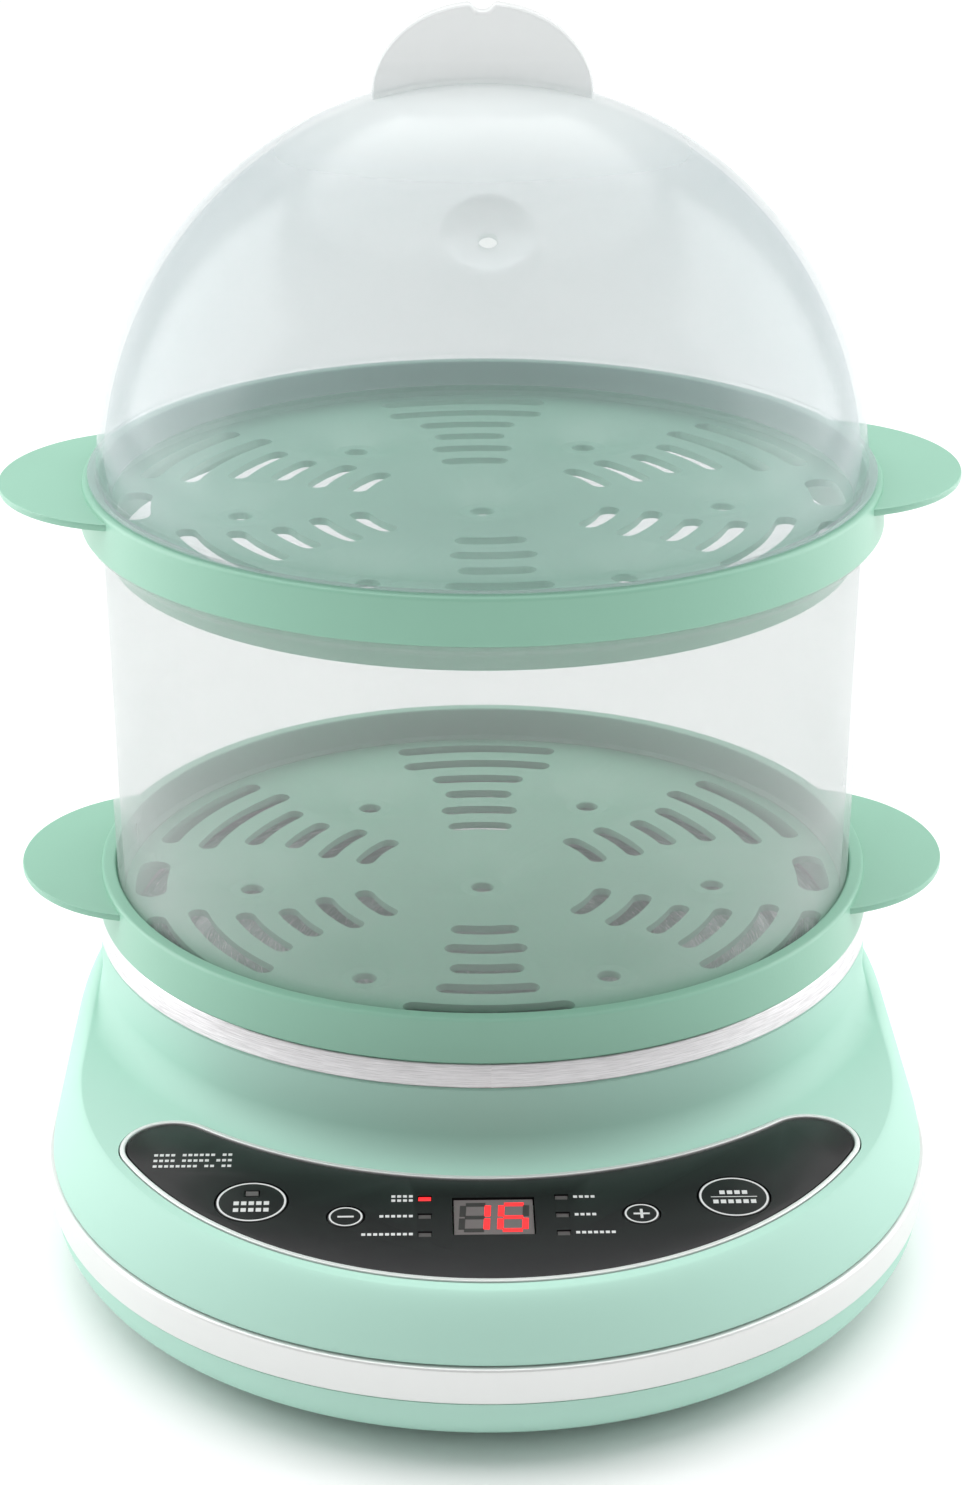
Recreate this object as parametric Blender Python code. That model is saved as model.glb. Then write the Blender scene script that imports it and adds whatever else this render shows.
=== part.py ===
"""Two-tier electric egg cooker, made of separate pieces.

Every size is in millimetres and becomes metres where a mesh or a place is made. +Z is up and the
control panel faces -Y. The origin lies on the surface that the cooker stands on, under the middle of
the base. Trays, steam chamber and lid are stacked on one upright axis, STACK_Y behind the origin.
"""

import math

import bmesh
import bpy

MM = 0.001

# Clearances
GAP = 0.3  # between two pieces that touch
SLIDE_GAP = 0.45  # round a piece that lifts out
OVERLAP = 1.0  # how far a fused lump reaches into its parent

# Facets
STACK_FACETS = 48
BASE_FACETS = 64
SMALL_FACETS = 8
SEAT_FACETS = 12
ARC_STEP = math.radians(9)

# Base plan: two round ends of equal radius, joined by straight sides
BASE_RADIUS = 93.3
BASE_REACH = 45.0  # the front end's centre stands this far before the stack's axis
STACK_Y = BASE_REACH / 2

# Base shells
WALL = 2.4
FOOT_HEIGHT = 2.7
FOOT_RADIUS = 7.5
FOOT_INSET = 9.0  # from the pan's rounded edge
PAN_HEIGHT = 11.5
PAN_ROUNDING = 11.0
TRIM_HEIGHT = 7.8
TRIM_PROUD = 0.9
TRIM_DEPTH = 3.2
DECK_RISE = 14.1  # from the seam to the deck at the panel's rear edge
DECK_TILT = math.radians(2.0)
EDGE_WIDTH = 6.8  # the rounded shoulder, seen from above
EDGE_POWER = 1.333  # below 2, so that the shoulder leans in
TOWER_INSET = 0.5  # from the shoulder's inner edge to the tower
TOWER_RADIUS = BASE_RADIUS - EDGE_WIDTH - TOWER_INSET
TOWER_BORE = TOWER_RADIUS - WALL
TOWER_RISE = 30.8  # from the seam to the tower's top
TOWER_FILLET = 6.0
LEDGE_WIDTH = 6.6
LEDGE_THICKNESS = 2.4
LEDGE_DROP = 5.2  # from the tower's top down to the ledge
POST_RADIUS = 4.0
SCREW_RADIUS = 1.45
SCREW_HOLE = 1.9

# Control panel, a crescent in the plane of the deck
PANEL_STAND_OFF = 5.6  # from the tower to the panel's rear edge
PANEL_BACK = TOWER_RADIUS + PANEL_STAND_OFF  # from the stack's axis
PANEL_FLATNESS = 4.5  # how much wider the rear edge curves than the tower's own circle there
PANEL_INNER_RADIUS = PANEL_BACK + PANEL_FLATNESS
PANEL_EDGE = 8.2  # from the base's outline to the front edge
PANEL_OUTER_RADIUS = BASE_RADIUS - PANEL_EDGE
PANEL_DEPTH = 37.8
PANEL_TIP_RADIUS = 10.6
BEZEL_WIDTH = 1.1
BEZEL_PROUD = 0.3
BEZEL_LEDGE = 1.6
LENS_THICKNESS = 2.0
LENS_PROUD = 0.1
BIG_BUTTON = (48.0, -8.8, 7.15)  # across, along the deck, radius
SMALL_BUTTON = (29.2, -14.5, 3.6)
BUTTON_TRAVEL = 0.5
BUTTON_DEPTH = 3.4
WINDOW_SIZE = (16.3, 13.2)
WINDOW_ALONG = -14.7
LIGHT_ACROSS = 13.6
LIGHT_ROWS = (-8.2, -14.55, -20.9)
LIGHT_SIZE = (2.5, 1.6)
DELAY_LIGHT_RISE = 3.0  # from the delay button's centre to its light
BOARD_THICKNESS = 1.6
CONTROL_BOARD_DEPTH = 7.0  # from the deck down to the board's top
CONTROL_BOARD_INSET = 4.5
SWITCH_HALF = 3.0

# Heater
COLLAR_HEIGHT = 5.0
COLLAR_OVERHANG = 0.3
COLLAR_TAPER = 1.0
COLLAR_LIP = 1.4  # how far the bore stands inside the tower's
COLLAR_BOTTOM_RADIUS = TOWER_RADIUS + COLLAR_OVERHANG
COLLAR_TOP_RADIUS = COLLAR_BOTTOM_RADIUS - COLLAR_TAPER
COLLAR_BORE = TOWER_BORE - COLLAR_LIP
COLLAR_SKIRT = 2.8
GASKET_THICKNESS = 0.8
PLATE_SHEET = 1.0
PLATE_FLANGE = 9.0
DISH_MARGIN = 7.0  # between the ledge and the dish
DISH_RADIUS = TOWER_BORE - LEDGE_WIDTH - DISH_MARGIN
DISH_DEPTH = 8.4
ELEMENT_RADIUS = 46.0
ELEMENT_TUBE = 4.0
ELEMENT_OPENING = math.radians(26)
SHIELD_DROP = 10.5
SHIELD_SHEET = 0.6
THERMOSTAT_RADIUS = 8.0
THERMOSTAT_HEIGHT = 7.0
SHIELD_SCREW_INSET = 6.0
SHIELD_SCREW_RING = DISH_RADIUS - SHIELD_SCREW_INSET

# Tray rims
TRAY_INSET = 0.2  # from the collar's top edge
TRAY_RADIUS = COLLAR_TOP_RADIUS - TRAY_INSET
TRAY_FLARE = 0.8
TRAY_SKIRT = 9.7
TRAY_RIM_WIDTH = 3.1

# Steam chamber
CHAMBER_HEIGHT = 86.9
CHAMBER_DRAFT = 1.15
CHAMBER_TOP_RADIUS = TRAY_RADIUS - TRAY_RIM_WIDTH - SLIDE_GAP + CHAMBER_DRAFT
CHAMBER_WALL = 1.4
CHAMBER_LIP = 2.0

# Trays inside their rims
TRAY_FLOOR_DROP = 8.0
TRAY_SHEET = 1.6
PLUG_FIT = 0.5  # inside the chamber
PLUG_RADIUS = CHAMBER_TOP_RADIUS - CHAMBER_WALL - PLUG_FIT
PLUG_DROP = 16.7
PLUG_WALL = 1.8
FLOOR_CORNER = 0.9  # where the floor meets the rim's wall, and on the chamber's foot
EAR_LENGTH = 17.9  # beyond the rim
EAR_REACH = TRAY_RADIUS + EAR_LENGTH
EAR_DEPTH = 31.0  # from the oval's middle to its tip
EAR_CENTRE = EAR_REACH - EAR_DEPTH
EAR_HALF_WIDTH = 33.7
EAR_THICKNESS = 1.6
EAR_DROP = 1.2
LOWER_TURN = 0.0
UPPER_TURN = math.radians(2.4)
SEAT_INSET = 28.8  # from the plug to the ring's radius
SEAT_RING = PLUG_RADIUS - SEAT_INSET
SEAT_RADIUS = 15.0
SEAT_DEPTH = 2.7
SEAT_HOLE = 2.5
SLOT_HALF_LENGTHS = (7.5, 9.0, 8.0, 11.0, 18.0, 19.5)  # from the inner ring to the outer
SLOT_WIDTH = 4.4
SLOT_START = 13.0  # from the middle seat to the inner ring
SLOT_INSET = 5.8  # from the plug to the outer ring
SIDE_SLOT_INSET = 6.3
SIDE_SLOT = (9.5, 7.0)  # half-length and width of the wide hole beside each ear

# Lid
LID_INSET = 1.1  # from the tray's rim
LID_FLANGE = TRAY_RADIUS - LID_INSET
LID_BRIM = 1.55
LID_RADIUS = LID_FLANGE - LID_BRIM
LID_RISE = 81.2  # from the tray's rim to the crown
LID_SINK = 3.8  # the dome's middle lies this far below the rim
LID_SHOULDER = 4.5
LID_WALL = 1.6
LID_PLUG = 5.0
FIN_HALF_WIDTH = 22.7
FIN_RISE = 16.1
FIN_THICKNESS = 4.4
NOTCH_WIDTH = 5.0
NOTCH_DEPTH = 1.7
DIMPLE_RADIUS = 10.0
DIMPLE_DEPTH = 2.6
DIMPLE_TILT = math.radians(38.2)  # from upright, towards the front
VENT_RADIUS = 1.9

# Boards in the pan
POWER_BOARD = (74.0, 50.0)
POWER_BOARD_RISE = 6.1
STANDOFF_RADIUS = 2.6
LEAD_RADIUS = 1.2
GLAND_RISE = 7.6  # over the seam
GLAND_NECK = 5.0
GLAND_FLANGE = 6.2
GLAND_BORE = 2.8

# Heights that follow from the sizes above
PAN_BOTTOM = FOOT_HEIGHT + GAP
PAN_TOP = PAN_BOTTOM + PAN_HEIGHT
TRIM_BOTTOM = PAN_TOP + GAP
SEAM = TRIM_BOTTOM + TRIM_HEIGHT + GAP
GLAND_HEIGHT = SEAM + GLAND_RISE
TOWER_TOP = SEAM + TOWER_RISE
LEDGE_TOP = TOWER_TOP - LEDGE_DROP
COLLAR_BOTTOM = TOWER_TOP + GAP
COLLAR_TOP = COLLAR_BOTTOM + COLLAR_HEIGHT
GASKET_BOTTOM = LEDGE_TOP + GAP
PLATE_LEVEL = GASKET_BOTTOM + GASKET_THICKNESS + GAP
DISH_UNDERSIDE = PLATE_LEVEL - DISH_DEPTH
LOWER_RIM = COLLAR_TOP + GAP + TRAY_SKIRT
CHAMBER_BOTTOM = LOWER_RIM - TRAY_FLOOR_DROP + GAP
CHAMBER_TOP = CHAMBER_BOTTOM + CHAMBER_HEIGHT
UPPER_RIM = CHAMBER_TOP + GAP + TRAY_SKIRT
FLOOR_TOP = PAN_BOTTOM + WALL
POWER_BOARD_BOTTOM = FLOOR_TOP + POWER_BOARD_RISE
POWER_BOARD_TOP = POWER_BOARD_BOTTOM + BOARD_THICKNESS


def clear_scene():
    """Leave an empty scene."""
    for obj in list(bpy.data.objects):
        bpy.data.objects.remove(obj)


def finish(name, colour, roughness, metallic=0.0, alpha=1.0):
    """A Principled material."""
    material = bpy.data.materials.new(name)
    material.use_nodes = True
    shader = material.node_tree.nodes["Principled BSDF"]
    shader.inputs["Base Color"].default_value = (*colour, 1.0)
    shader.inputs["Roughness"].default_value = roughness
    shader.inputs["Metallic"].default_value = metallic
    shader.inputs["Alpha"].default_value = alpha
    material.diffuse_color = (*colour, alpha)
    return material


# ---------------------------------------------------------------- mesh makers


def bridge(bm, ring, following):
    """Faces between two rings of points, of which either may be a single point."""
    count = max(len(ring), len(following))
    if count == 1:
        return
    for step in range(count):
        corners = [ring[step % len(ring)], ring[(step + 1) % len(ring)]]
        corners += [following[(step + 1) % len(following)], following[step % len(following)]]
        bm.faces.new(list(dict.fromkeys(corners)))


def add_loft(bm, rings, closed):
    """A body through rings of (x, y, z): the last joins the first, or both ends get a cap."""
    made = [[bm.verts.new([value * MM for value in point]) for point in ring] for ring in rings]
    for ring, following in zip(made, made[1:]):
        bridge(bm, ring, following)
    if closed:
        bridge(bm, made[-1], made[0])
        return
    for end in (made[0], made[-1]):
        if len(end) > 2:
            bm.faces.new(end)


def add_turned(bm, profile, facets, centre=(0.0, 0.0)):
    """A turned body from a profile of (radius, height); one that starts on the axis also ends there."""
    on_axis = profile[0][0] == 0
    if on_axis and profile[0][1] == profile[1][1]:
        profile = profile[1:]
    if on_axis and profile[-1][1] == profile[-2][1]:
        profile = profile[:-1]
    rings = []
    for radius, height in profile:
        steps = facets if radius > 0 else 1
        angles = [2 * math.pi * step / facets for step in range(steps)]
        ring = [(centre[0] + radius * math.sin(a), centre[1] - radius * math.cos(a), height) for a in angles]
        rings.append(ring)
    add_loft(bm, rings, closed=not on_axis)


def add_rod(bm, radius, bottom, top, centre=(0.0, 0.0), facets=SMALL_FACETS):
    """An upright round rod."""
    add_turned(bm, [(0, bottom), (radius, bottom), (radius, top), (0, top)], facets, centre)


def add_prism(bm, outline, bottom, top):
    """An upright prism on an outline of (x, y)."""
    add_loft(bm, [[(x, y, z) for x, y in outline] for z in (bottom, top)], closed=False)


def add_block(bm, size, centre, bottom):
    """A block standing on a height."""
    x, y = size[0] / 2, size[1] / 2
    outline = [(centre[0] + u * x, centre[1] + v * y) for u, v in ((-1, -1), (1, -1), (1, 1), (-1, 1))]
    add_prism(bm, outline, bottom, bottom + size[2])


def piece(name, bm, material, place=(0, 0, 0), turn=0.0, parent=None):
    """A named object from a mesh in progress, with its faces pointing out."""
    bmesh.ops.recalc_face_normals(bm, faces=bm.faces)
    mesh = bpy.data.meshes.new(name)
    bm.to_mesh(mesh)
    bm.free()
    mesh.shade_smooth()
    mesh.set_sharp_from_angle(angle=math.radians(32))
    mesh.materials.append(material)
    obj = bpy.data.objects.new(name, mesh)
    obj.location = [value * MM for value in place]
    obj.rotation_euler.z = turn
    obj.parent = parent
    bpy.context.scene.collection.objects.link(obj)
    return obj


def tool(name, bm, place=(0, 0, 0), turn=0.0, parent=None):
    """A shape that only cuts or adds to another."""
    obj = piece(name, bm, bpy.data.materials["tool"], place, turn, parent)
    obj.hide_render = True
    obj.display_type = "WIRE"
    return obj


def combine(obj, other, operation):
    """A live Boolean between a piece and a tool."""
    modifier = obj.modifiers.new(other.name, "BOOLEAN")
    modifier.object = other
    modifier.operation = operation
    modifier.solver = "EXACT"


def axis(name, place, tilt=0.0):
    """An empty that carries pieces."""
    obj = bpy.data.objects.new(name, None)
    obj.location = [value * MM for value in place]
    obj.rotation_euler.x = tilt
    bpy.context.scene.collection.objects.link(obj)
    return obj


# ---------------------------------------------------------------- outlines


def arc(centre, radius, start, end):
    """Points on an arc; angles are counted from -Y towards +X."""
    steps = max(3, math.ceil(abs(end - start) / ARC_STEP))
    angles = [start + (end - start) * step / steps for step in range(steps + 1)]
    return [(centre[0] + radius * math.sin(a), centre[1] - radius * math.cos(a)) for a in angles]


def plan_radius(angle, radius):
    """How far the base's outline of that end radius lies from the stack's axis, towards an angle."""
    across, ahead = abs(math.sin(angle)), math.cos(angle)
    if ahead <= 0:
        return radius
    if across > 0 and radius / across * ahead <= BASE_REACH:
        return radius / across
    return BASE_REACH * ahead + math.sqrt(radius**2 - (BASE_REACH * across) ** 2)


def plan_ring(radius, height):
    """The base's outline at one height, about the stack's axis."""
    ring = []
    for step in range(BASE_FACETS):
        angle = 2 * math.pi * step / BASE_FACETS
        reach = plan_radius(angle, radius)
        ring.append((reach * math.sin(angle), -reach * math.cos(angle), height))
    return ring


def deck_height(y):
    """The deck's height at a distance behind the stack's axis."""
    return SEAM + DECK_RISE + (y + PANEL_BACK) * math.tan(DECK_TILT)


def deck_ring(radius, drop=0.0):
    """The base's outline laid on the deck, or below it."""
    return [(x, y, deck_height(y) - drop) for x, y, _ in plan_ring(radius, 0)]


def round_ring(radius, height):
    """A circle with the base's facets."""
    return [
        (radius * math.sin(a), -radius * math.cos(a), height)
        for a in (2 * math.pi * step / BASE_FACETS for step in range(BASE_FACETS))
    ]


def panel_geometry():
    """Centres along the deck of the panel's two long arcs, and the place of its round tips."""
    inner, outer = PANEL_INNER_RADIUS, PANEL_OUTER_RADIUS - PANEL_DEPTH
    near, far = PANEL_OUTER_RADIUS - PANEL_TIP_RADIUS, PANEL_INNER_RADIUS + PANEL_TIP_RADIUS
    along = (inner**2 - outer**2 - far**2 + near**2) / (2 * (inner - outer))
    across = math.sqrt(near**2 - (along - outer) ** 2)
    return inner, outer, across, along


def panel_outline(inset):
    """The crescent, drawn in by an inset: outer arc, right tip, inner arc, left tip."""
    inner, outer, across, along = panel_geometry()
    wide = math.atan2(across, outer - along)
    narrow = math.atan2(across, inner - along)
    tip = PANEL_TIP_RADIUS - inset
    points = arc((0, outer), PANEL_OUTER_RADIUS - inset, -wide, wide)
    points += arc((across, along), tip, wide, math.pi + narrow)[1:]
    points += arc((0, inner), PANEL_INNER_RADIUS + inset, narrow, -narrow)[1:]
    points += arc((-across, along), tip, math.pi - narrow, 2 * math.pi - wide)[1:-1]
    return points


def circle(centre, radius, facets=24):
    """A closed circle of points."""
    angles = [2 * math.pi * step / facets for step in range(facets)]
    return [(centre[0] + radius * math.sin(a), centre[1] - radius * math.cos(a)) for a in angles]


def button_places():
    """Name, place and radius of each button."""
    across, along, radius = BIG_BUTTON
    small_across, small_along, small_radius = SMALL_BUTTON
    return {
        "delay_timer": ((-across, along), radius),
        "minus": ((-small_across, small_along), small_radius),
        "plus": ((small_across, small_along), small_radius),
        "menu_cancel": ((across, along), radius),
    }


# ---------------------------------------------------------------- base shells


def post_places():
    """Where the four housing screws go, about the stack's axis."""
    ahead = BASE_RADIUS - WALL - POST_RADIUS - 7.5
    behind = TOWER_BORE - POST_RADIUS + OVERLAP
    return [
        (-ahead, -BASE_REACH),
        (ahead, -BASE_REACH),
        (-behind * math.sin(math.pi / 4), behind * math.cos(math.pi / 4)),
        (behind * math.sin(math.pi / 4), behind * math.cos(math.pi / 4)),
    ]


def make_bottom_pan(material):
    """The pan that closes the base from below."""
    top = BASE_RADIUS + 0.3
    rings = []
    for wall in (0.0, WALL):
        side = []
        for step in range(5):
            a = math.pi / 2 * step / 4
            radius = top - PAN_ROUNDING + (PAN_ROUNDING - wall) * math.sin(a)
            side.append(plan_ring(radius, PAN_BOTTOM + PAN_ROUNDING - (PAN_ROUNDING - wall) * math.cos(a)))
        side.append(plan_ring(top - wall, PAN_TOP))
        rings += side if wall == 0 else side[::-1]
    bm = bmesh.new()
    add_loft(bm, rings, closed=False)
    pan = piece("bottom_pan", bm, material, (0, STACK_Y, 0))

    bm = bmesh.new()
    for x, y in board_corners():
        add_rod(bm, STANDOFF_RADIUS, FLOOR_TOP - OVERLAP, POWER_BOARD_BOTTOM - GAP, (x, y))
    combine(pan, tool("pan_standoffs", bm, (0, STACK_Y, 0)), "UNION")

    bm = bmesh.new()
    for x, y in post_places():
        add_rod(bm, SCREW_HOLE, 0, FLOOR_TOP + OVERLAP, (x, y))
    for x, y in board_corners():
        add_rod(bm, SCREW_RADIUS / 2 + GAP, FLOOR_TOP + OVERLAP, POWER_BOARD_TOP, (x, y), 8)
    for row in range(-3, 4):
        add_block(bm, (34, 3.0, 3 * WALL), (0, row * 7.0 - BASE_REACH - 14), 0)
    combine(pan, tool("pan_holes", bm, (0, STACK_Y, 0)), "DIFFERENCE")


def make_trim_band(material):
    """The bright band between pan and housing."""
    outer, top = BASE_RADIUS + TRIM_PROUD, TRIM_BOTTOM + TRIM_HEIGHT
    rings = [plan_ring(outer, TRIM_BOTTOM), plan_ring(outer, top)]
    rings += [plan_ring(outer - TRIM_DEPTH, top), plan_ring(outer - TRIM_DEPTH, TRIM_BOTTOM)]
    bm = bmesh.new()
    add_loft(bm, rings, closed=True)
    piece("base_trim_band", bm, material, (0, STACK_Y, 0))


def shoulder_rings():
    """The leaning shoulder, from the seam up to the edge of the deck."""
    rings = []
    edge = deck_ring(BASE_RADIUS - EDGE_WIDTH)
    steps = 5
    for step in range(steps):
        a = math.pi / 2 * step / steps
        radius = BASE_RADIUS - EDGE_WIDTH + EDGE_WIDTH * math.cos(a) ** EDGE_POWER
        rise = math.sin(a) ** EDGE_POWER
        ring = plan_ring(radius, SEAM)
        rings.append([(x, y, z + (e[2] - z) * rise) for (x, y, z), e in zip(ring, edge)])
    return rings + [edge]


def tower_rings():
    """The hollow fillet from the deck up into the tower, and the tower's top edge."""
    rings = []
    edge = plan_ring(BASE_RADIUS - EDGE_WIDTH, 0)
    for step in range(4):
        a = math.pi / 2 * step / 3
        ring = []
        for x, y, _ in edge:
            room = 0.9 * (math.hypot(x, y) - TOWER_RADIUS)
            fillet = min(TOWER_FILLET, room)
            radius = TOWER_RADIUS + fillet * (1 - math.sin(a))
            share = radius / math.hypot(x, y)
            foot = deck_height(y * (TOWER_RADIUS + fillet) / math.hypot(x, y))
            ring.append((x * share, y * share, foot + TOWER_FILLET * (1 - math.cos(a))))
        rings.append(ring)
    return rings + [round_ring(TOWER_RADIUS, TOWER_TOP)]


def make_housing(material, panel_plane):
    """The upper shell: shoulder, deck, tower and the ledge that carries the heating plate."""
    ledge_bottom = LEDGE_TOP - LEDGE_THICKNESS
    rings = shoulder_rings() + tower_rings()
    rings += [
        round_ring(TOWER_BORE, TOWER_TOP),
        round_ring(TOWER_BORE, LEDGE_TOP),
        round_ring(TOWER_BORE - LEDGE_WIDTH, LEDGE_TOP),
        round_ring(TOWER_BORE - LEDGE_WIDTH, ledge_bottom),
        round_ring(TOWER_BORE, ledge_bottom),
        [(x, y, deck_height(y) - WALL) for x, y, _ in round_ring(TOWER_BORE, 0)],
        deck_ring(BASE_RADIUS - EDGE_WIDTH - WALL, WALL),
        plan_ring(BASE_RADIUS - WALL, SEAM),
    ]
    bm = bmesh.new()
    add_loft(bm, rings, closed=True)
    housing = piece("upper_housing", bm, material, (0, STACK_Y, 0))

    bm = bmesh.new()
    bottom = FLOOR_TOP + 3 * GAP
    for x, y in post_places():
        top = ledge_bottom + OVERLAP if y > 0 else deck_height(y) - WALL + OVERLAP
        add_rod(bm, POST_RADIUS, bottom, top, (x, y))
    combine(housing, tool("housing_posts", bm, (0, STACK_Y, 0)), "UNION")

    bm = bmesh.new()
    for x, y in post_places():
        add_rod(bm, SCREW_HOLE, 0, bottom + 14, (x, y))
    combine(housing, tool("housing_screw_holes", bm, (0, STACK_Y, 0)), "DIFFERENCE")

    bm = bmesh.new()
    add_prism(bm, panel_outline(0), -3 * WALL, 2 * WALL)
    combine(housing, tool("panel_hole", bm, parent=panel_plane), "DIFFERENCE")

    bm = bmesh.new()
    add_rod(bm, GLAND_NECK + GAP, BASE_RADIUS - 5 * WALL, BASE_RADIUS + WALL, facets=20)
    hole = tool("gland_hole", bm, (0, STACK_Y, GLAND_HEIGHT))
    hole.rotation_euler.x = -math.pi / 2
    combine(housing, hole, "DIFFERENCE")


def make_gland(material):
    """The rubber bush through which the lead enters, with a groove for the housing's wall."""
    neck_end = BASE_RADIUS - 4.6
    outer, face = BASE_RADIUS + TRIM_PROUD, BASE_RADIUS + GAP / 2
    profile = [
        (GLAND_BORE, outer),
        (GLAND_FLANGE - 0.5, outer),
        (GLAND_FLANGE - 0.5, face),
        (GLAND_NECK, face),
        (GLAND_NECK, neck_end - 4.4),
        (GLAND_FLANGE, neck_end - 4.4),
        (GLAND_FLANGE, neck_end - 6.6),
        (GLAND_BORE, neck_end - 6.6),
    ]
    bm = bmesh.new()
    add_turned(bm, profile, 20)
    gland = piece("cord_gland", bm, material, (0, STACK_Y, GLAND_HEIGHT))
    gland.rotation_euler.x = -math.pi / 2


def make_feet(material):
    """Four rubber feet stuck under the pan."""
    profile = [(0, 0), (FOOT_RADIUS - 0.6, 0), (FOOT_RADIUS, 0.8)]
    profile += [(FOOT_RADIUS, FOOT_HEIGHT), (0, FOOT_HEIGHT)]
    reach = (BASE_RADIUS - PAN_ROUNDING - FOOT_RADIUS - FOOT_INSET) * math.sin(math.pi / 4)
    for name, x, y in (
        ("front_left", -reach, -BASE_REACH - reach),
        ("front_right", reach, -BASE_REACH - reach),
        ("rear_left", -reach, reach),
        ("rear_right", reach, reach),
    ):
        bm = bmesh.new()
        add_turned(bm, profile, 20)
        piece(f"foot_{name}", bm, material, (x, STACK_Y + y, 0))


def screw_profile(head_radius, head_height, radius, length, level):
    """A screw that points up, its head's upper face at a level."""
    low, high = level - head_height, level + length
    return [(0, low), (head_radius, low), (head_radius, level), (radius, level), (radius, high), (0, high)]


def make_screws(name, profile, places, material):
    """One screw at each place, numbered from one."""
    for number, (x, y) in enumerate(places, 1):
        bm = bmesh.new()
        add_turned(bm, profile, SMALL_FACETS)
        piece(f"{name}_{number}", bm, material, (x, STACK_Y + y, 0))


def make_housing_screws(material):
    """Four screws that go up through the pan into the housing's posts."""
    profile = screw_profile(3.1, 1.6, SCREW_RADIUS, 13.0, FOOT_HEIGHT)
    make_screws("housing_screw", profile, post_places(), material)


# ---------------------------------------------------------------- heater


def make_collar(material):
    """The brushed ring that tops the base and holds the plate down."""
    profile = [
        (COLLAR_BOTTOM_RADIUS, COLLAR_BOTTOM),
        (COLLAR_TOP_RADIUS, COLLAR_TOP),
        (COLLAR_BORE, COLLAR_TOP),
        (COLLAR_BORE, COLLAR_BOTTOM - COLLAR_SKIRT),
        (TOWER_BORE - GAP, COLLAR_BOTTOM - COLLAR_SKIRT),
        (TOWER_BORE - GAP, COLLAR_BOTTOM),
    ]
    bm = bmesh.new()
    add_turned(bm, profile, BASE_FACETS)
    piece("steel_collar", bm, material, (0, STACK_Y, 0))


def make_gasket(material):
    """The silicone ring between ledge and plate."""
    inner, outer = TOWER_BORE - LEDGE_WIDTH + GAP, TOWER_BORE - GAP
    top = GASKET_BOTTOM + GASKET_THICKNESS
    profile = [(inner, GASKET_BOTTOM), (outer, GASKET_BOTTOM), (outer, top), (inner, top)]
    bm = bmesh.new()
    add_turned(bm, profile, BASE_FACETS)
    piece("plate_gasket", bm, material, (0, STACK_Y, 0))


def make_plate(material):
    """The stainless dish that holds the water."""
    rim = COLLAR_BORE + 0.4
    corner = rim - PLATE_FLANGE
    low = DISH_UNDERSIDE
    profile = [
        (0, low),
        (DISH_RADIUS - 1.5, low),
        (DISH_RADIUS, low + 1.5),
        (corner, PLATE_LEVEL),
        (rim, PLATE_LEVEL),
        (rim, PLATE_LEVEL + PLATE_SHEET),
        (corner - PLATE_SHEET, PLATE_LEVEL + PLATE_SHEET),
        (DISH_RADIUS - PLATE_SHEET, low + 1.5 + PLATE_SHEET),
        (DISH_RADIUS - 1.5 - PLATE_SHEET, low + PLATE_SHEET),
        (0, low + PLATE_SHEET),
    ]
    bm = bmesh.new()
    add_turned(bm, profile, STACK_FACETS)
    piece("heating_plate", bm, material, (0, STACK_Y, 0))


def make_tube(name, points, radius, material, place, resolution=2):
    """A round tube along points."""
    curve = bpy.data.curves.new(name, "CURVE")
    curve.dimensions = "3D"
    curve.bevel_depth = radius * MM
    curve.bevel_resolution = resolution
    curve.use_fill_caps = True
    spline = curve.splines.new("POLY")
    spline.points.add(len(points) - 1)
    for target, point in zip(spline.points, points):
        target.co = (*[value * MM for value in point], 1.0)
    curve.materials.append(material)
    obj = bpy.data.objects.new(name, curve)
    obj.location = [value * MM for value in place]
    bpy.context.scene.collection.objects.link(obj)
    return obj


def element_level():
    """The height of the element's tube, close under the dish."""
    return DISH_UNDERSIDE - GAP - ELEMENT_TUBE


def make_element(material):
    """The sheathed heating element, an open ring whose ends turn in at the rear."""
    start, end = math.pi + ELEMENT_OPENING, 3 * math.pi - ELEMENT_OPENING
    ring = arc((0, 0), ELEMENT_RADIUS, start, end)[::2]
    level = element_level()
    make_tube("heating_element", [(x, y, level) for x, y in ring], ELEMENT_TUBE, material, (0, STACK_Y, 0))


def make_shield(material, steel):
    """The tray under the element that keeps its heat from the boards, and its three screws."""
    low = element_level() - SHIELD_DROP + ELEMENT_TUBE
    rim = DISH_UNDERSIDE - 2.0
    outer, hole = DISH_RADIUS - 1, THERMOSTAT_RADIUS + 3
    profile = [
        (hole, low),
        (outer, low),
        (outer + 2, rim),
        (outer + 2 - SHIELD_SHEET, rim),
        (outer - SHIELD_SHEET, low + SHIELD_SHEET),
        (hole, low + SHIELD_SHEET),
    ]
    bm = bmesh.new()
    add_turned(bm, profile, 48)
    shield = piece("heat_shield", bm, material, (0, STACK_Y, 0))

    places = [(SHIELD_SCREW_RING * math.sin(a), -SHIELD_SCREW_RING * math.cos(a)) for a in (0, 2.094, 4.189)]
    bm = bmesh.new()
    for place in places:
        add_rod(bm, SCREW_HOLE, low - OVERLAP, low + OVERLAP, place)
    for side in (-1, 1):
        add_block(bm, (9, 9, 3), lead_hole(side), low - OVERLAP)
    combine(shield, tool("shield_holes", bm, (0, STACK_Y, 0)), "DIFFERENCE")

    length = DISH_UNDERSIDE - GAP - (low - GAP)
    make_screws("shield_screw", screw_profile(2.8, 1.4, SCREW_RADIUS, length, low - GAP), places, steel)


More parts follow.
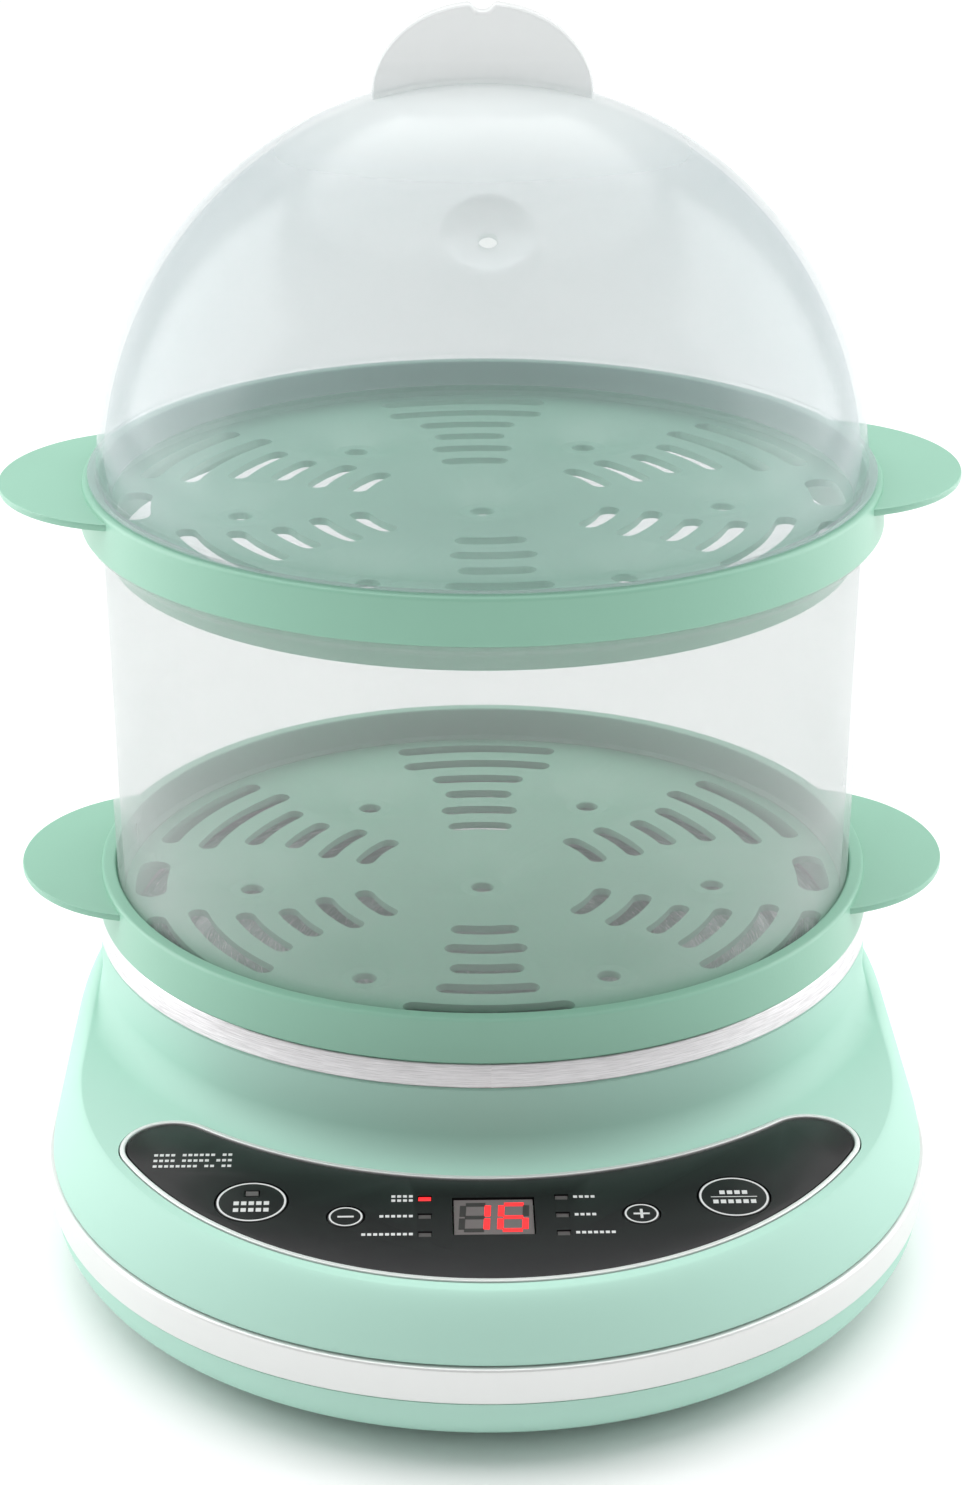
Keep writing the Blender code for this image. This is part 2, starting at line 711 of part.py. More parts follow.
def make_thermostat(plastic, steel):
    """The snap disc that stops boiling dry, and the one-shot fuse beside it."""
    top = DISH_UNDERSIDE - GAP
    cap = top - 2.6
    profile = [
        (0, top - THERMOSTAT_HEIGHT),
        (THERMOSTAT_RADIUS - 1.5, top - THERMOSTAT_HEIGHT),
        (THERMOSTAT_RADIUS - 1.5, cap),
        (THERMOSTAT_RADIUS, cap),
        (THERMOSTAT_RADIUS, top),
        (0, top),
    ]
    bm = bmesh.new()
    add_turned(bm, profile, 24)
    piece("thermostat", bm, plastic, (0, STACK_Y, 0))
    bm = bmesh.new()
    add_rod(bm, 2.0, -6.0, 6.0)
    fuse = piece("thermal_fuse", bm, steel, (22.0, STACK_Y, top - 2.4))
    fuse.rotation_euler.x = math.pi / 2


# ---------------------------------------------------------------- boards


def board_corners():
    """The power board's screw places, about the stack's axis."""
    x, y = POWER_BOARD[0] / 2 - 4, POWER_BOARD[1] / 2 - 4
    return [(u * x, v * y - BASE_REACH / 2) for u in (-1, 1) for v in (-1, 1)]


def lead_hole(side):
    """Where a heater lead goes up through the shield."""
    reach = ELEMENT_RADIUS * math.sin(ELEMENT_OPENING)
    return side * (reach - 9.0), ELEMENT_RADIUS * math.cos(ELEMENT_OPENING) - 1.0


def make_power_board(looks):
    """The mains board on the pan's floor, with what is soldered to it."""
    base = POWER_BOARD_TOP + GAP
    middle = -BASE_REACH / 2
    bm = bmesh.new()
    add_block(bm, (*POWER_BOARD, BOARD_THICKNESS), (0, middle), POWER_BOARD_BOTTOM)
    board = piece("power_board", bm, looks["board"], (0, STACK_Y, 0))
    bm = bmesh.new()
    for place in board_corners():
        add_rod(bm, SCREW_HOLE, POWER_BOARD_BOTTOM - OVERLAP, base + OVERLAP, place)
    combine(board, tool("power_board_holes", bm, (0, STACK_Y, 0)), "DIFFERENCE")

    low, head = FLOOR_TOP + 1.5 + OVERLAP, base + 1.2
    radius = SCREW_RADIUS / 2
    profile = [(0, low), (radius, low), (radius, base), (2.4, base), (2.4, head), (0, head)]
    make_screws("board_screw", profile, board_corners(), looks["steel"])

    for name, size, place, look in (
        ("relay", (19.0, 15.5, 10.5), (-20.0, middle + 4), "black"),
        ("transformer", (17.0, 15.0, 12.0), (20.0, middle - 4), "amber"),
        ("terminal_block", (16.0, 8.0, 9.0), (0.0, middle + 17), "green"),
    ):
        bm = bmesh.new()
        add_block(bm, size, place, base)
        piece(name, bm, looks[look], (0, STACK_Y, 0))
    for name, radius, height, place, look in (
        ("filter_capacitor", 5.0, 12.0, (3.0, middle + 2), "navy"),
        ("buzzer", 4.6, 5.4, (-4.0, middle - 14), "black"),
    ):
        bm = bmesh.new()
        add_rod(bm, radius, base, base + height, place, 20)
        piece(name, bm, looks[look], (0, STACK_Y, 0))


def on_curve(t, p, q, r, s):
    """A Catmull-Rom curve's value between q and r."""
    steep = 2 * p - 5 * q + 4 * r - s
    return (2 * q + (r - p) * t + steep * t**2 + (3 * q - p - 3 * r + s) * t**3) / 2


def smooth_route(corners, steps=6):
    """Points on a smooth curve through a lead's corners."""
    padded = [corners[0], *corners, corners[-1]]
    points = []
    for a, b, c, d in zip(padded, padded[1:], padded[2:], padded[3:]):
        for step in range(steps):
            points.append(tuple(on_curve(step / steps, *ends) for ends in zip(a, b, c, d)))
    return [*points, corners[-1]]


def make_leads(material, ribbon_material):
    """The two heater leads and the ribbon between the boards."""
    level = element_level()
    bottom = POWER_BOARD_TOP + GAP + 9.0 + GAP
    for name, side in (("heater_lead_left", -1), ("heater_lead_right", 1)):
        x, y = lead_hole(side)
        end = side * (ELEMENT_RADIUS * math.sin(ELEMENT_OPENING) - 1.6)
        corners = [
            (side * 4.0, -BASE_REACH / 2 + 17, bottom),
            (side * 4.5, -BASE_REACH / 2 + 19, bottom + 3),
            (x, y - 12.0, bottom + 2.5),
            (x, y, level - ELEMENT_TUBE - 2),
            (x + side * 3.0, y + 0.5, level - 0.5),
            (end - side * 0.4, y + 1.0, level),
        ]
        make_tube(name, smooth_route(corners), LEAD_RADIUS, material, (0, STACK_Y, 0), 1)

    front = -BASE_REACH / 2 - POWER_BOARD[1] / 2 + 4
    low = POWER_BOARD_TOP + GAP
    plug = control_board_bottom(-PANEL_BACK - 12.0) - GAP
    centre = [(front, low), (front, low + 5), (front - 6, low + 8), (-PANEL_BACK - 6, low + 8)]
    centre += [(-PANEL_BACK - 12, low + 11), (-PANEL_BACK - 12, plug)]
    rings = []
    for (y, z), (dy, dz) in zip(centre, ((0, 1), (-0.4, 1), (-1, 0.4), (-1, 0.4), (-0.4, 1), (0, 1))):
        size = math.hypot(dy, dz)
        off_y, off_z = -dz / size * 0.4, dy / size * 0.4
        corners = [(-6, off_y, off_z), (6, off_y, off_z), (6, -off_y, -off_z), (-6, -off_y, -off_z)]
        rings.append([(x, y + v, z + w) for x, v, w in corners])
    bm = bmesh.new()
    add_loft(bm, rings, closed=False)
    piece("display_ribbon", bm, ribbon_material, (0, STACK_Y, 0))


# ---------------------------------------------------------------- control panel


def control_board_bottom(y):
    """The height of the control board's underside at a distance behind the stack's axis."""
    return deck_height(y) - (CONTROL_BOARD_DEPTH + BOARD_THICKNESS) / math.cos(DECK_TILT)


def make_bezel(material, plane):
    """The thin bright frame, with a ledge that the lens sits on."""
    seat = LENS_PROUD - LENS_THICKNESS - GAP
    low = seat - 1.4
    rings = [
        [(x, y, z) for x, y in panel_outline(inset)]
        for inset, z in (
            (GAP, low),
            (GAP, BEZEL_PROUD),
            (GAP + BEZEL_WIDTH, BEZEL_PROUD),
            (GAP + BEZEL_WIDTH, seat),
            (GAP + BEZEL_WIDTH + BEZEL_LEDGE, seat),
            (GAP + BEZEL_WIDTH + BEZEL_LEDGE, low),
        )
    ]
    bm = bmesh.new()
    add_loft(bm, rings, closed=True)
    piece("panel_bezel", bm, material, parent=plane)


def make_lens(material, plane):
    """The black panel, with holes for the buttons, the display and the lights."""
    bottom = LENS_PROUD - LENS_THICKNESS
    bm = bmesh.new()
    add_prism(bm, panel_outline(BEZEL_WIDTH + 2 * GAP), bottom, LENS_PROUD)
    lens = piece("panel_lens", bm, material, parent=plane)
    low, high = bottom - OVERLAP, 2 * LENS_PROUD + OVERLAP
    bm = bmesh.new()
    for place, radius in button_places().values():
        add_prism(bm, circle(place, radius + GAP), low, high)
    add_block(bm, (WINDOW_SIZE[0], WINDOW_SIZE[1], high - low), (0, WINDOW_ALONG), low)
    for side in (-1, 1):
        for row in LIGHT_ROWS:
            size = (LIGHT_SIZE[0] + GAP, LIGHT_SIZE[1] + GAP, high - low)
            add_block(bm, size, (side * LIGHT_ACROSS, row), low)
    combine(lens, tool("lens_holes", bm, parent=plane), "DIFFERENCE")


def make_buttons(material, plane, light_material):
    """Four buttons that press in along the deck's normal, and the small light in the delay button."""
    top = LENS_PROUD
    for name, (place, radius) in button_places().items():
        carrier = axis(f"{name}_press", (*place, top))
        carrier.parent = plane
        stem = radius * 0.45
        profile = [(0, -BUTTON_DEPTH), (stem, -BUTTON_DEPTH), (stem, 0.2 - LENS_THICKNESS)]
        profile += [(radius, 0.2 - LENS_THICKNESS), (radius, 0), (0, 0)]
        bm = bmesh.new()
        add_turned(bm, profile, 24)
        button = piece(f"{name}_button", bm, material, parent=carrier)
        if name != "delay_timer":
            continue
        bm = bmesh.new()
        add_block(bm, (LIGHT_SIZE[0] + 2 * GAP, LIGHT_SIZE[1] + 2 * GAP, 2.0), (0, DELAY_LIGHT_RISE), -1.2)
        combine(button, tool("delay_light_pocket", bm, parent=carrier), "DIFFERENCE")
        bm = bmesh.new()
        add_block(bm, (*LIGHT_SIZE, 0.9), (0, DELAY_LIGHT_RISE), -0.9)
        piece("delay_indicator_light", bm, light_material, parent=carrier)


def make_control_board(looks, plane):
    """The board behind the panel with display, light bars, switches and its screws."""
    top, bottom = -CONTROL_BOARD_DEPTH, -CONTROL_BOARD_DEPTH - BOARD_THICKNESS
    bm = bmesh.new()
    add_prism(bm, panel_outline(CONTROL_BOARD_INSET), bottom, top)
    piece("control_board", bm, looks["board"], parent=plane)

    bm = bmesh.new()
    size = (WINDOW_SIZE[0] - 2 * GAP, WINDOW_SIZE[1] - 2 * GAP, CONTROL_BOARD_DEPTH - 2 * GAP)
    add_block(bm, size, (0, WINDOW_ALONG), top + GAP)
    piece("display_module", bm, looks["black"], parent=plane)

    for name, side in (("left_light_bars", -1), ("right_light_bars", 1)):
        bm = bmesh.new()
        spine = LENS_PROUD - LENS_THICKNESS - GAP - 1.2
        for row in LIGHT_ROWS:
            add_block(bm, (*LIGHT_SIZE, LENS_PROUD - spine - GAP), (side * LIGHT_ACROSS, row), spine)
        bars = piece(name, bm, looks["lens"], parent=plane)
        bm = bmesh.new()
        length = LIGHT_ROWS[0] - LIGHT_ROWS[-1] + 4 * LIGHT_SIZE[1]
        add_block(bm, (LIGHT_SIZE[0] + 0.6, length, 1.6), (side * LIGHT_ACROSS, LIGHT_ROWS[1]), spine - 0.8)
        combine(bars, tool(f"{name}_spine", bm, parent=plane), "UNION")

    for name, (place, _) in button_places().items():
        gap = CONTROL_BOARD_DEPTH + LENS_PROUD - BUTTON_DEPTH - BUTTON_TRAVEL - GAP - 0.1
        bm = bmesh.new()
        rings = []
        for half, rise in ((SWITCH_HALF, 0), (SWITCH_HALF, gap - 1.0), (1.4, gap - 1.0), (1.4, gap)):
            corners = ((-half, -half), (half, -half), (half, half), (-half, half))
            rings.append([(place[0] + u, place[1] + v, top + GAP + rise) for u, v in corners])
        add_loft(bm, rings, closed=False)
        piece(f"{name}_switch", bm, looks["black"], parent=plane)


# ---------------------------------------------------------------- stack


def tray_profile():
    """The tray's section, measured down from its rim."""
    bore = TRAY_RADIUS - TRAY_RIM_WIDTH
    floor = -TRAY_FLOOR_DROP
    flare = TRAY_RADIUS + TRAY_FLARE
    under = floor - TRAY_SHEET
    return [
        (0, floor),
        (bore - FLOOR_CORNER, floor),
        (bore, floor + FLOOR_CORNER),
        (bore, 0),
        (TRAY_RADIUS - 0.5, 0),
        (TRAY_RADIUS, -0.5),
        (flare, -TRAY_SKIRT),
        (PLUG_RADIUS, -TRAY_SKIRT),
        (PLUG_RADIUS - 0.5, -PLUG_DROP),
        (PLUG_RADIUS - 0.5 - PLUG_WALL, -PLUG_DROP),
        (PLUG_RADIUS - PLUG_WALL, under),
        (0, under),
    ]


def seat_places():
    """One egg seat in the middle and six round it."""
    turns = [math.pi / 6 + math.pi / 3 * k for k in range(6)]
    return [(0.0, 0.0), *((SEAT_RING * math.sin(a), -SEAT_RING * math.cos(a)) for a in turns)]


def slot_outline(radius, half_length, width, middle):
    """A curved steam slot with square ends, on a ring about the axis."""
    half = half_length / radius
    outside = arc((0, 0), radius + width / 2, middle - half, middle + half)
    inside = arc((0, 0), radius - width / 2, middle + half, middle - half)
    return outside + inside


def ear_outline(side):
    """A flat half-oval ear that grows out of the rim."""
    root = TRAY_RADIUS - TRAY_RIM_WIDTH / 2
    tip = EAR_REACH - EAR_CENTRE
    oval = []
    for step in range(-60, 61):
        a = math.pi / 2 * step / 60
        x, y = EAR_CENTRE + tip * math.cos(a), EAR_HALF_WIDTH * math.sin(a)
        if math.hypot(x, y) > root and step % 6 == 0:
            oval.append((side * x, side * y))
    first, last = (math.atan2(x, -y) for x, y in (oval[0], oval[-1]))
    return oval + arc((0, 0), root, last, first)[1:-1]


def make_tray(name, rim, turn, material):
    """A tray with seven egg seats, steam slots and two ears; its rim's top is at a height."""
    place = (0, STACK_Y, rim)
    bm = bmesh.new()
    add_turned(bm, tray_profile(), STACK_FACETS)
    tray = piece(name, bm, material, place, turn)
    floor = -TRAY_FLOOR_DROP

    bm = bmesh.new()
    for side in (-1, 1):
        add_prism(bm, ear_outline(side), -EAR_DROP - EAR_THICKNESS, -EAR_DROP)
    combine(tray, tool(f"{name}_ears", bm, place, turn), "UNION")

    bm = bmesh.new()
    cup = SEAT_RADIUS + TRAY_SHEET
    bottom = floor - SEAT_DEPTH - TRAY_SHEET
    for seat in seat_places():
        profile = [(0, bottom), (SEAT_RADIUS / 3 + 1, bottom), (cup, floor - TRAY_SHEET + 0.2)]
        profile += [(cup, floor - TRAY_SHEET / 2), (0, floor - TRAY_SHEET / 2)]
        add_turned(bm, profile, SEAT_FACETS, seat)
    combine(tray, tool(f"{name}_cups", bm, place, turn), "UNION")

    bm = bmesh.new()
    for seat in seat_places():
        deep = floor - SEAT_DEPTH
        profile = [(0, bottom - OVERLAP), (SEAT_HOLE, bottom - OVERLAP), (SEAT_HOLE, deep)]
        profile += [(SEAT_RADIUS / 3, deep), (SEAT_RADIUS + 0.6, floor + 0.1), (SEAT_RADIUS + 0.6, floor + 1)]
        add_turned(bm, [*profile, (0, floor + 1)], SEAT_FACETS, seat)
    combine(tray, tool(f"{name}_seats", bm, place, turn), "DIFFERENCE")

    bm = bmesh.new()
    first, last = SEAT_RADIUS + SLOT_START, PLUG_RADIUS - SLOT_INSET
    pitch = (last - first) / (len(SLOT_HALF_LENGTHS) - 1)
    rings = [(first + pitch * k, half) for k, half in enumerate(SLOT_HALF_LENGTHS)]
    slots = [(*ring, SLOT_WIDTH, sector * math.pi / 3) for sector in range(6) for ring in rings]
    beside = PLUG_RADIUS - SIDE_SLOT_INSET
    slots += [(beside, *SIDE_SLOT, side * math.pi / 2) for side in (-1, 1)]
    for slot in slots:
        add_prism(bm, slot_outline(*slot), floor - 2 * TRAY_SHEET, floor + OVERLAP)
    combine(tray, tool(f"{name}_slots", bm, place, turn), "DIFFERENCE")


def make_chamber(material):
    """The clear wall between the two trays, open above and below."""
    bottom = CHAMBER_TOP_RADIUS - CHAMBER_DRAFT
    lip = CHAMBER_TOP_RADIUS + CHAMBER_LIP
    high = CHAMBER_TOP - CHAMBER_BOTTOM
    profile = [
        (bottom - FLOOR_CORNER, 0),
        (bottom, FLOOR_CORNER),
        (CHAMBER_TOP_RADIUS, high - 2.6),
        (lip, high - 1.0),
        (lip, high),
        (CHAMBER_TOP_RADIUS - CHAMBER_WALL, high),
        (bottom - CHAMBER_WALL, 0),
    ]
    bm = bmesh.new()
    add_turned(bm, profile, STACK_FACETS)
    piece("steam_chamber", bm, material, (0, STACK_Y, CHAMBER_BOTTOM))


def dome_points(radius, base, crown, start):
    """The dome's section from a start height up to its crown, on an ellipse whose centre is at base."""
    height = crown - base
    first = math.asin((start - base) / height)
    angles = [first + (math.pi / 2 - first) * step / 8 for step in range(9)]
    points = [(radius * math.cos(a), base + height * math.sin(a)) for a in angles]
    return [*points[:-1], (0, crown)]


def dimple_ball(extra):
    """Radius and distance from the dome's middle of the ball that presses the dimple in."""
    ball = (DIMPLE_RADIUS**2 + DIMPLE_DEPTH**2) / (2 * DIMPLE_DEPTH)
    return ball + extra, ball - DIMPLE_DEPTH


def make_lid(material):
    """The clear dome with its fin handle, its dimple and the vent in it."""
    place = (0, STACK_Y, UPPER_RIM)
    base = -LID_SINK
    bore = TRAY_RADIUS - TRAY_RIM_WIDTH
    outside = [
        (0, -LID_PLUG),
        (bore - SLIDE_GAP - 1.1, -LID_PLUG),
        (bore - SLIDE_GAP, GAP),
        (LID_FLANGE, GAP),
        (LID_FLANGE, GAP + 0.9),
        *dome_points(LID_RADIUS, base, LID_RISE, LID_SHOULDER),
    ]
    bm = bmesh.new()
    add_turned(bm, outside, STACK_FACETS)
    lid = piece("lid", bm, material, place)

    fin = [(-FIN_HALF_WIDTH, LID_RISE - 12)]
    fin_height = LID_RISE + FIN_RISE
    for step in range(13):
        a = math.pi * step / 12
        x, z = -FIN_HALF_WIDTH * math.cos(a), fin_height - (fin_height - LID_RISE + 2) * (1 - math.sin(a))
        if abs(x) > NOTCH_WIDTH / 2:
            fin.append((x, z))
        elif step == 6:
            half = NOTCH_WIDTH / 2
            fin += [(-half, fin_height), (-half / 2, fin_height - NOTCH_DEPTH)]
            fin += [(half / 2, fin_height - NOTCH_DEPTH), (half, fin_height)]
    fin.append((FIN_HALF_WIDTH, LID_RISE - 12))
    bm = bmesh.new()
    rings = [[(x, y, z) for x, z in fin] for y in (-FIN_THICKNESS / 2, FIN_THICKNESS / 2)]
    add_loft(bm, rings, closed=False)
    combine(lid, tool("lid_fin", bm, place), "UNION")

    tall = LID_RISE + LID_SINK
    surface = math.hypot(math.sin(DIMPLE_TILT) / LID_RADIUS, math.cos(DIMPLE_TILT) / tall) ** -1
    for name, extra in (("lid_dimple", 0.0), ("dimple_wall", LID_WALL)):
        ball, reach = dimple_ball(extra)
        bm = bmesh.new()
        bmesh.ops.create_uvsphere(bm, u_segments=16, v_segments=24, radius=ball * MM)
        far = surface + reach
        middle = (0, STACK_Y - far * math.sin(DIMPLE_TILT), UPPER_RIM + base + far * math.cos(DIMPLE_TILT))
        shape = tool(name, bm, middle)
        shape.rotation_euler.x = DIMPLE_TILT
        if extra:
            wall = shape
        else:
            combine(lid, shape, "DIFFERENCE")

    inside = [
        (0, -LID_PLUG - OVERLAP),
        (bore - SLIDE_GAP - 1.1 - LID_WALL, -LID_PLUG - OVERLAP),
        (bore - SLIDE_GAP - LID_WALL, GAP),
        *dome_points(LID_RADIUS - LID_WALL, base, LID_RISE - LID_WALL, LID_SHOULDER),
    ]
    bm = bmesh.new()
    add_turned(bm, inside, STACK_FACETS)
    cavity = tool("lid_cavity", bm, place)
    combine(cavity, wall, "DIFFERENCE")
    combine(lid, cavity, "DIFFERENCE")

    bm = bmesh.new()
    add_rod(bm, VENT_RADIUS, surface - 12, surface + 6)
    vent = tool("lid_vent", bm, (0, STACK_Y, UPPER_RIM + base))
    vent.rotation_euler.x = DIMPLE_TILT
    combine(lid, vent, "DIFFERENCE")


def main():
    """Build every piece."""
    clear_scene()
    looks = {
        "tool": finish("tool", (1.0, 0.4, 0.1), 0.5),
        "mint": finish("mint_plastic", (0.46, 0.73, 0.62), 0.42),
        "clear": finish("clear_plastic", (0.80, 0.88, 0.89), 0.2, 0.0, 0.4),
        "trim": finish("satin_trim", (0.80, 0.81, 0.82), 0.35, 0.6),
        "steel": finish("brushed_steel", (0.70, 0.70, 0.71), 0.32, 1.0),
        "sheath": finish("dark_steel", (0.25, 0.24, 0.23), 0.5, 1.0),
        "bright": finish("bright_steel", (0.75, 0.75, 0.77), 0.15, 1.0),
        "panel": finish("black_panel", (0.012, 0.011, 0.013), 0.12),
        "lens": finish("light_bar", (0.45, 0.43, 0.43), 0.4),
        "black": finish("black_plastic", (0.02, 0.02, 0.022), 0.45),
        "rubber": finish("rubber", (0.03, 0.03, 0.03), 0.8),
        "silicone": finish("silicone", (0.62, 0.60, 0.55), 0.6),
        "board": finish("circuit_board", (0.03, 0.16, 0.07), 0.4),
        "amber": finish("amber_tape", (0.70, 0.42, 0.06), 0.4),
        "green": finish("green_plastic", (0.05, 0.34, 0.14), 0.4),
        "navy": finish("blue_sleeve", (0.02, 0.05, 0.18), 0.35),
        "lead": finish("white_sleeve", (0.72, 0.70, 0.66), 0.7),
        "ribbon": finish("grey_ribbon", (0.42, 0.42, 0.44), 0.5),
    }
    panel_place = (0, STACK_Y - PANEL_BACK, deck_height(-PANEL_BACK))
    panel_plane = axis("panel_plane", panel_place, DECK_TILT)

    make_feet(looks["rubber"])
    make_bottom_pan(looks["mint"])
    make_housing_screws(looks["steel"])
    make_power_board(looks)
    make_trim_band(looks["trim"])
    make_housing(looks["mint"], panel_plane)
    make_gland(looks["rubber"])
    make_collar(looks["steel"])
    make_gasket(looks["silicone"])
    make_plate(looks["bright"])
    make_element(looks["sheath"])
    make_shield(looks["steel"], looks["steel"])
    make_thermostat(looks["black"], looks["steel"])
    make_leads(looks["lead"], looks["ribbon"])
    make_bezel(looks["trim"], panel_plane)
    make_lens(looks["panel"], panel_plane)
    make_buttons(looks["panel"], panel_plane, looks["lens"])
    make_control_board(looks, panel_plane)
    make_tray("lower_tray", LOWER_RIM, LOWER_TURN, looks["mint"])
    make_chamber(looks["clear"])
    make_tray("upper_tray", UPPER_RIM, UPPER_TURN, looks["mint"])
    make_lid(looks["clear"])


main()
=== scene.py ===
"""The looks of a two-tier egg cooker: fine surfaces, finishes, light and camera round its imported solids."""

import logging
import math
from collections.abc import Sequence
from dataclasses import dataclass
from enum import Enum
from typing import Any

import bmesh
import bpy
from mathutils import Matrix, Vector


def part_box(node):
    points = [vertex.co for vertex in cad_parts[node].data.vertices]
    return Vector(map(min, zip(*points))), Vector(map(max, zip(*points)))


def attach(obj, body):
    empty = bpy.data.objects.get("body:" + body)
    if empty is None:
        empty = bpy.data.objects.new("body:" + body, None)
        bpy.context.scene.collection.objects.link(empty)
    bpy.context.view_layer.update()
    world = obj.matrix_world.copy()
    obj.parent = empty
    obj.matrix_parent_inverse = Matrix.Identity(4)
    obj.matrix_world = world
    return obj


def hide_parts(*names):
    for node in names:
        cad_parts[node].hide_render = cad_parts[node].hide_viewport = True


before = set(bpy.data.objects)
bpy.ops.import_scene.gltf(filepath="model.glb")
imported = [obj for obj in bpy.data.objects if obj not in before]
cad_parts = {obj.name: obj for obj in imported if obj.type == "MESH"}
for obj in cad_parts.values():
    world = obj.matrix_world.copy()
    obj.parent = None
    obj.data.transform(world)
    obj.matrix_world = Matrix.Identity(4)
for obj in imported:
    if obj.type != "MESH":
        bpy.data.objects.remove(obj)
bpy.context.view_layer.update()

LOG = logging.getLogger("egg_cooker")
MM = 0.001
GAP = 0.3
WALL = 2.4
ROUND_FACETS = 192
FULL_TURN = 2 * math.pi
SHARP = math.radians(28)

Flat = tuple[float, float]
Point = tuple[float, float, float]
Colour = tuple[float, float, float]


# ---------------------------------------------------------------- node graphs


class Value:
    """A socket that can be used in sums."""

    def __init__(self, graph: "Graph", socket: bpy.types.NodeSocket) -> None:
        """Wrap an output socket of a graph."""
        self.graph = graph
        self.socket = socket

    def _math(self, operation: str, *terms: "Value | float") -> "Value":
        """A Math node on these terms."""
        return self.graph.node(self.graph.MATH, {"operation": operation}, dict(enumerate(terms)))

    def __add__(self, other: "Value | float") -> "Value":
        """Sum."""
        return self._math("ADD", self, other)

    __radd__ = __add__

    def __sub__(self, other: "Value | float") -> "Value":
        """Difference."""
        return self._math("SUBTRACT", self, other)

    def __rsub__(self, other: "Value | float") -> "Value":
        """Difference from a number."""
        return self._math("SUBTRACT", other, self)

    def __mul__(self, other: "Value | float") -> "Value":
        """Product."""
        return self._math("MULTIPLY", self, other)

    __rmul__ = __mul__

    def __truediv__(self, other: "Value | float") -> "Value":
        """Quotient."""
        return self._math("DIVIDE", self, other)

    def angle_to(self, other: "Value") -> "Value":
        """The angle whose tangent is this over the other."""
        return self._math("ARCTAN2", self, other)

    def length_with(self, other: "Value") -> "Value":
        """The length of the vector that this and the other make."""
        return self._math("SQRT", self * self + other * other)

    def between(self, low: float, high: float) -> "Value":
        """How far the value has gone from low to high, from 0 to 1."""
        inputs = {0: self, 1: low, 2: high, 3: 0.0, 4: 1.0}
        return self.graph.node("ShaderNodeMapRange", {"clamp": True}, inputs)

    def part(self, name: str) -> "Value":
        """Another output of the same node."""
        return Value(self.graph, self.socket.node.outputs[name])


class Graph:
    """Adds nodes to a tree, one call for each node."""

    MATH = "ShaderNodeMath"

    def __init__(self, tree: bpy.types.NodeTree) -> None:
        """Work on this tree."""
        self.tree = tree

    def node(
        self,
        kind: str,
        settings: dict[str, Any] | None = None,
        inputs: dict[int | str, Any] | None = None,
        output: int | str = 0,
    ) -> Value:
        """Add a node.

        Args:
            kind: the node's type.
            settings: its own settings, set before its sockets; "stops" are a ramp's.
            inputs: a value or a link for each socket.
            output: which output to hand back.

        Returns:
            That output.
        """
        node = self.tree.nodes.new(kind)
        for name, setting in (settings or {}).items():
            if name == "stops":
                for element, (place, colour) in zip(node.color_ramp.elements, setting):
                    element.position = place
                    element.color = colour
            else:
                setattr(node, name, setting)
        for key, given in (inputs or {}).items():
            self.feed(node.inputs[key], given)
        return Value(self, node.outputs[output])

    def feed(self, socket: bpy.types.NodeSocket, given: Any) -> None:
        """Link a value to a socket, or set the socket."""
        if isinstance(given, Value):
            self.tree.links.new(given.socket, socket)
        else:
            socket.default_value = given


class SurfaceGraph(Graph):
    """A material's nodes."""

    def place(self) -> Value:
        """The point on the piece, in metres."""
        return self.node("ShaderNodeTexCoord", output="Object")

    def noise(self, size: float, detail: float = 2.0, where: Value | None = None) -> Value:
        """Noise whose features are about this many metres across."""
        inputs = {"Vector": where or self.place(), "Scale": 1.0 / size, "Detail": detail}
        return self.node("ShaderNodeTexNoise", {}, inputs, "Fac")

    def blend(self, low: Colour, high: Colour, share: Value) -> Value:
        """A colour between two."""
        settings = {"data_type": "RGBA"}
        return self.node("ShaderNodeMix", settings, {0: share, 6: (*low, 1.0), 7: (*high, 1.0)}, 2)

    def bump(self, height: Value, depth: float, strength: float = 1.0) -> Value:
        """A normal that follows a height."""
        inputs = {"Height": height, "Distance": depth, "Strength": strength}
        return self.node("ShaderNodeBump", {}, inputs)


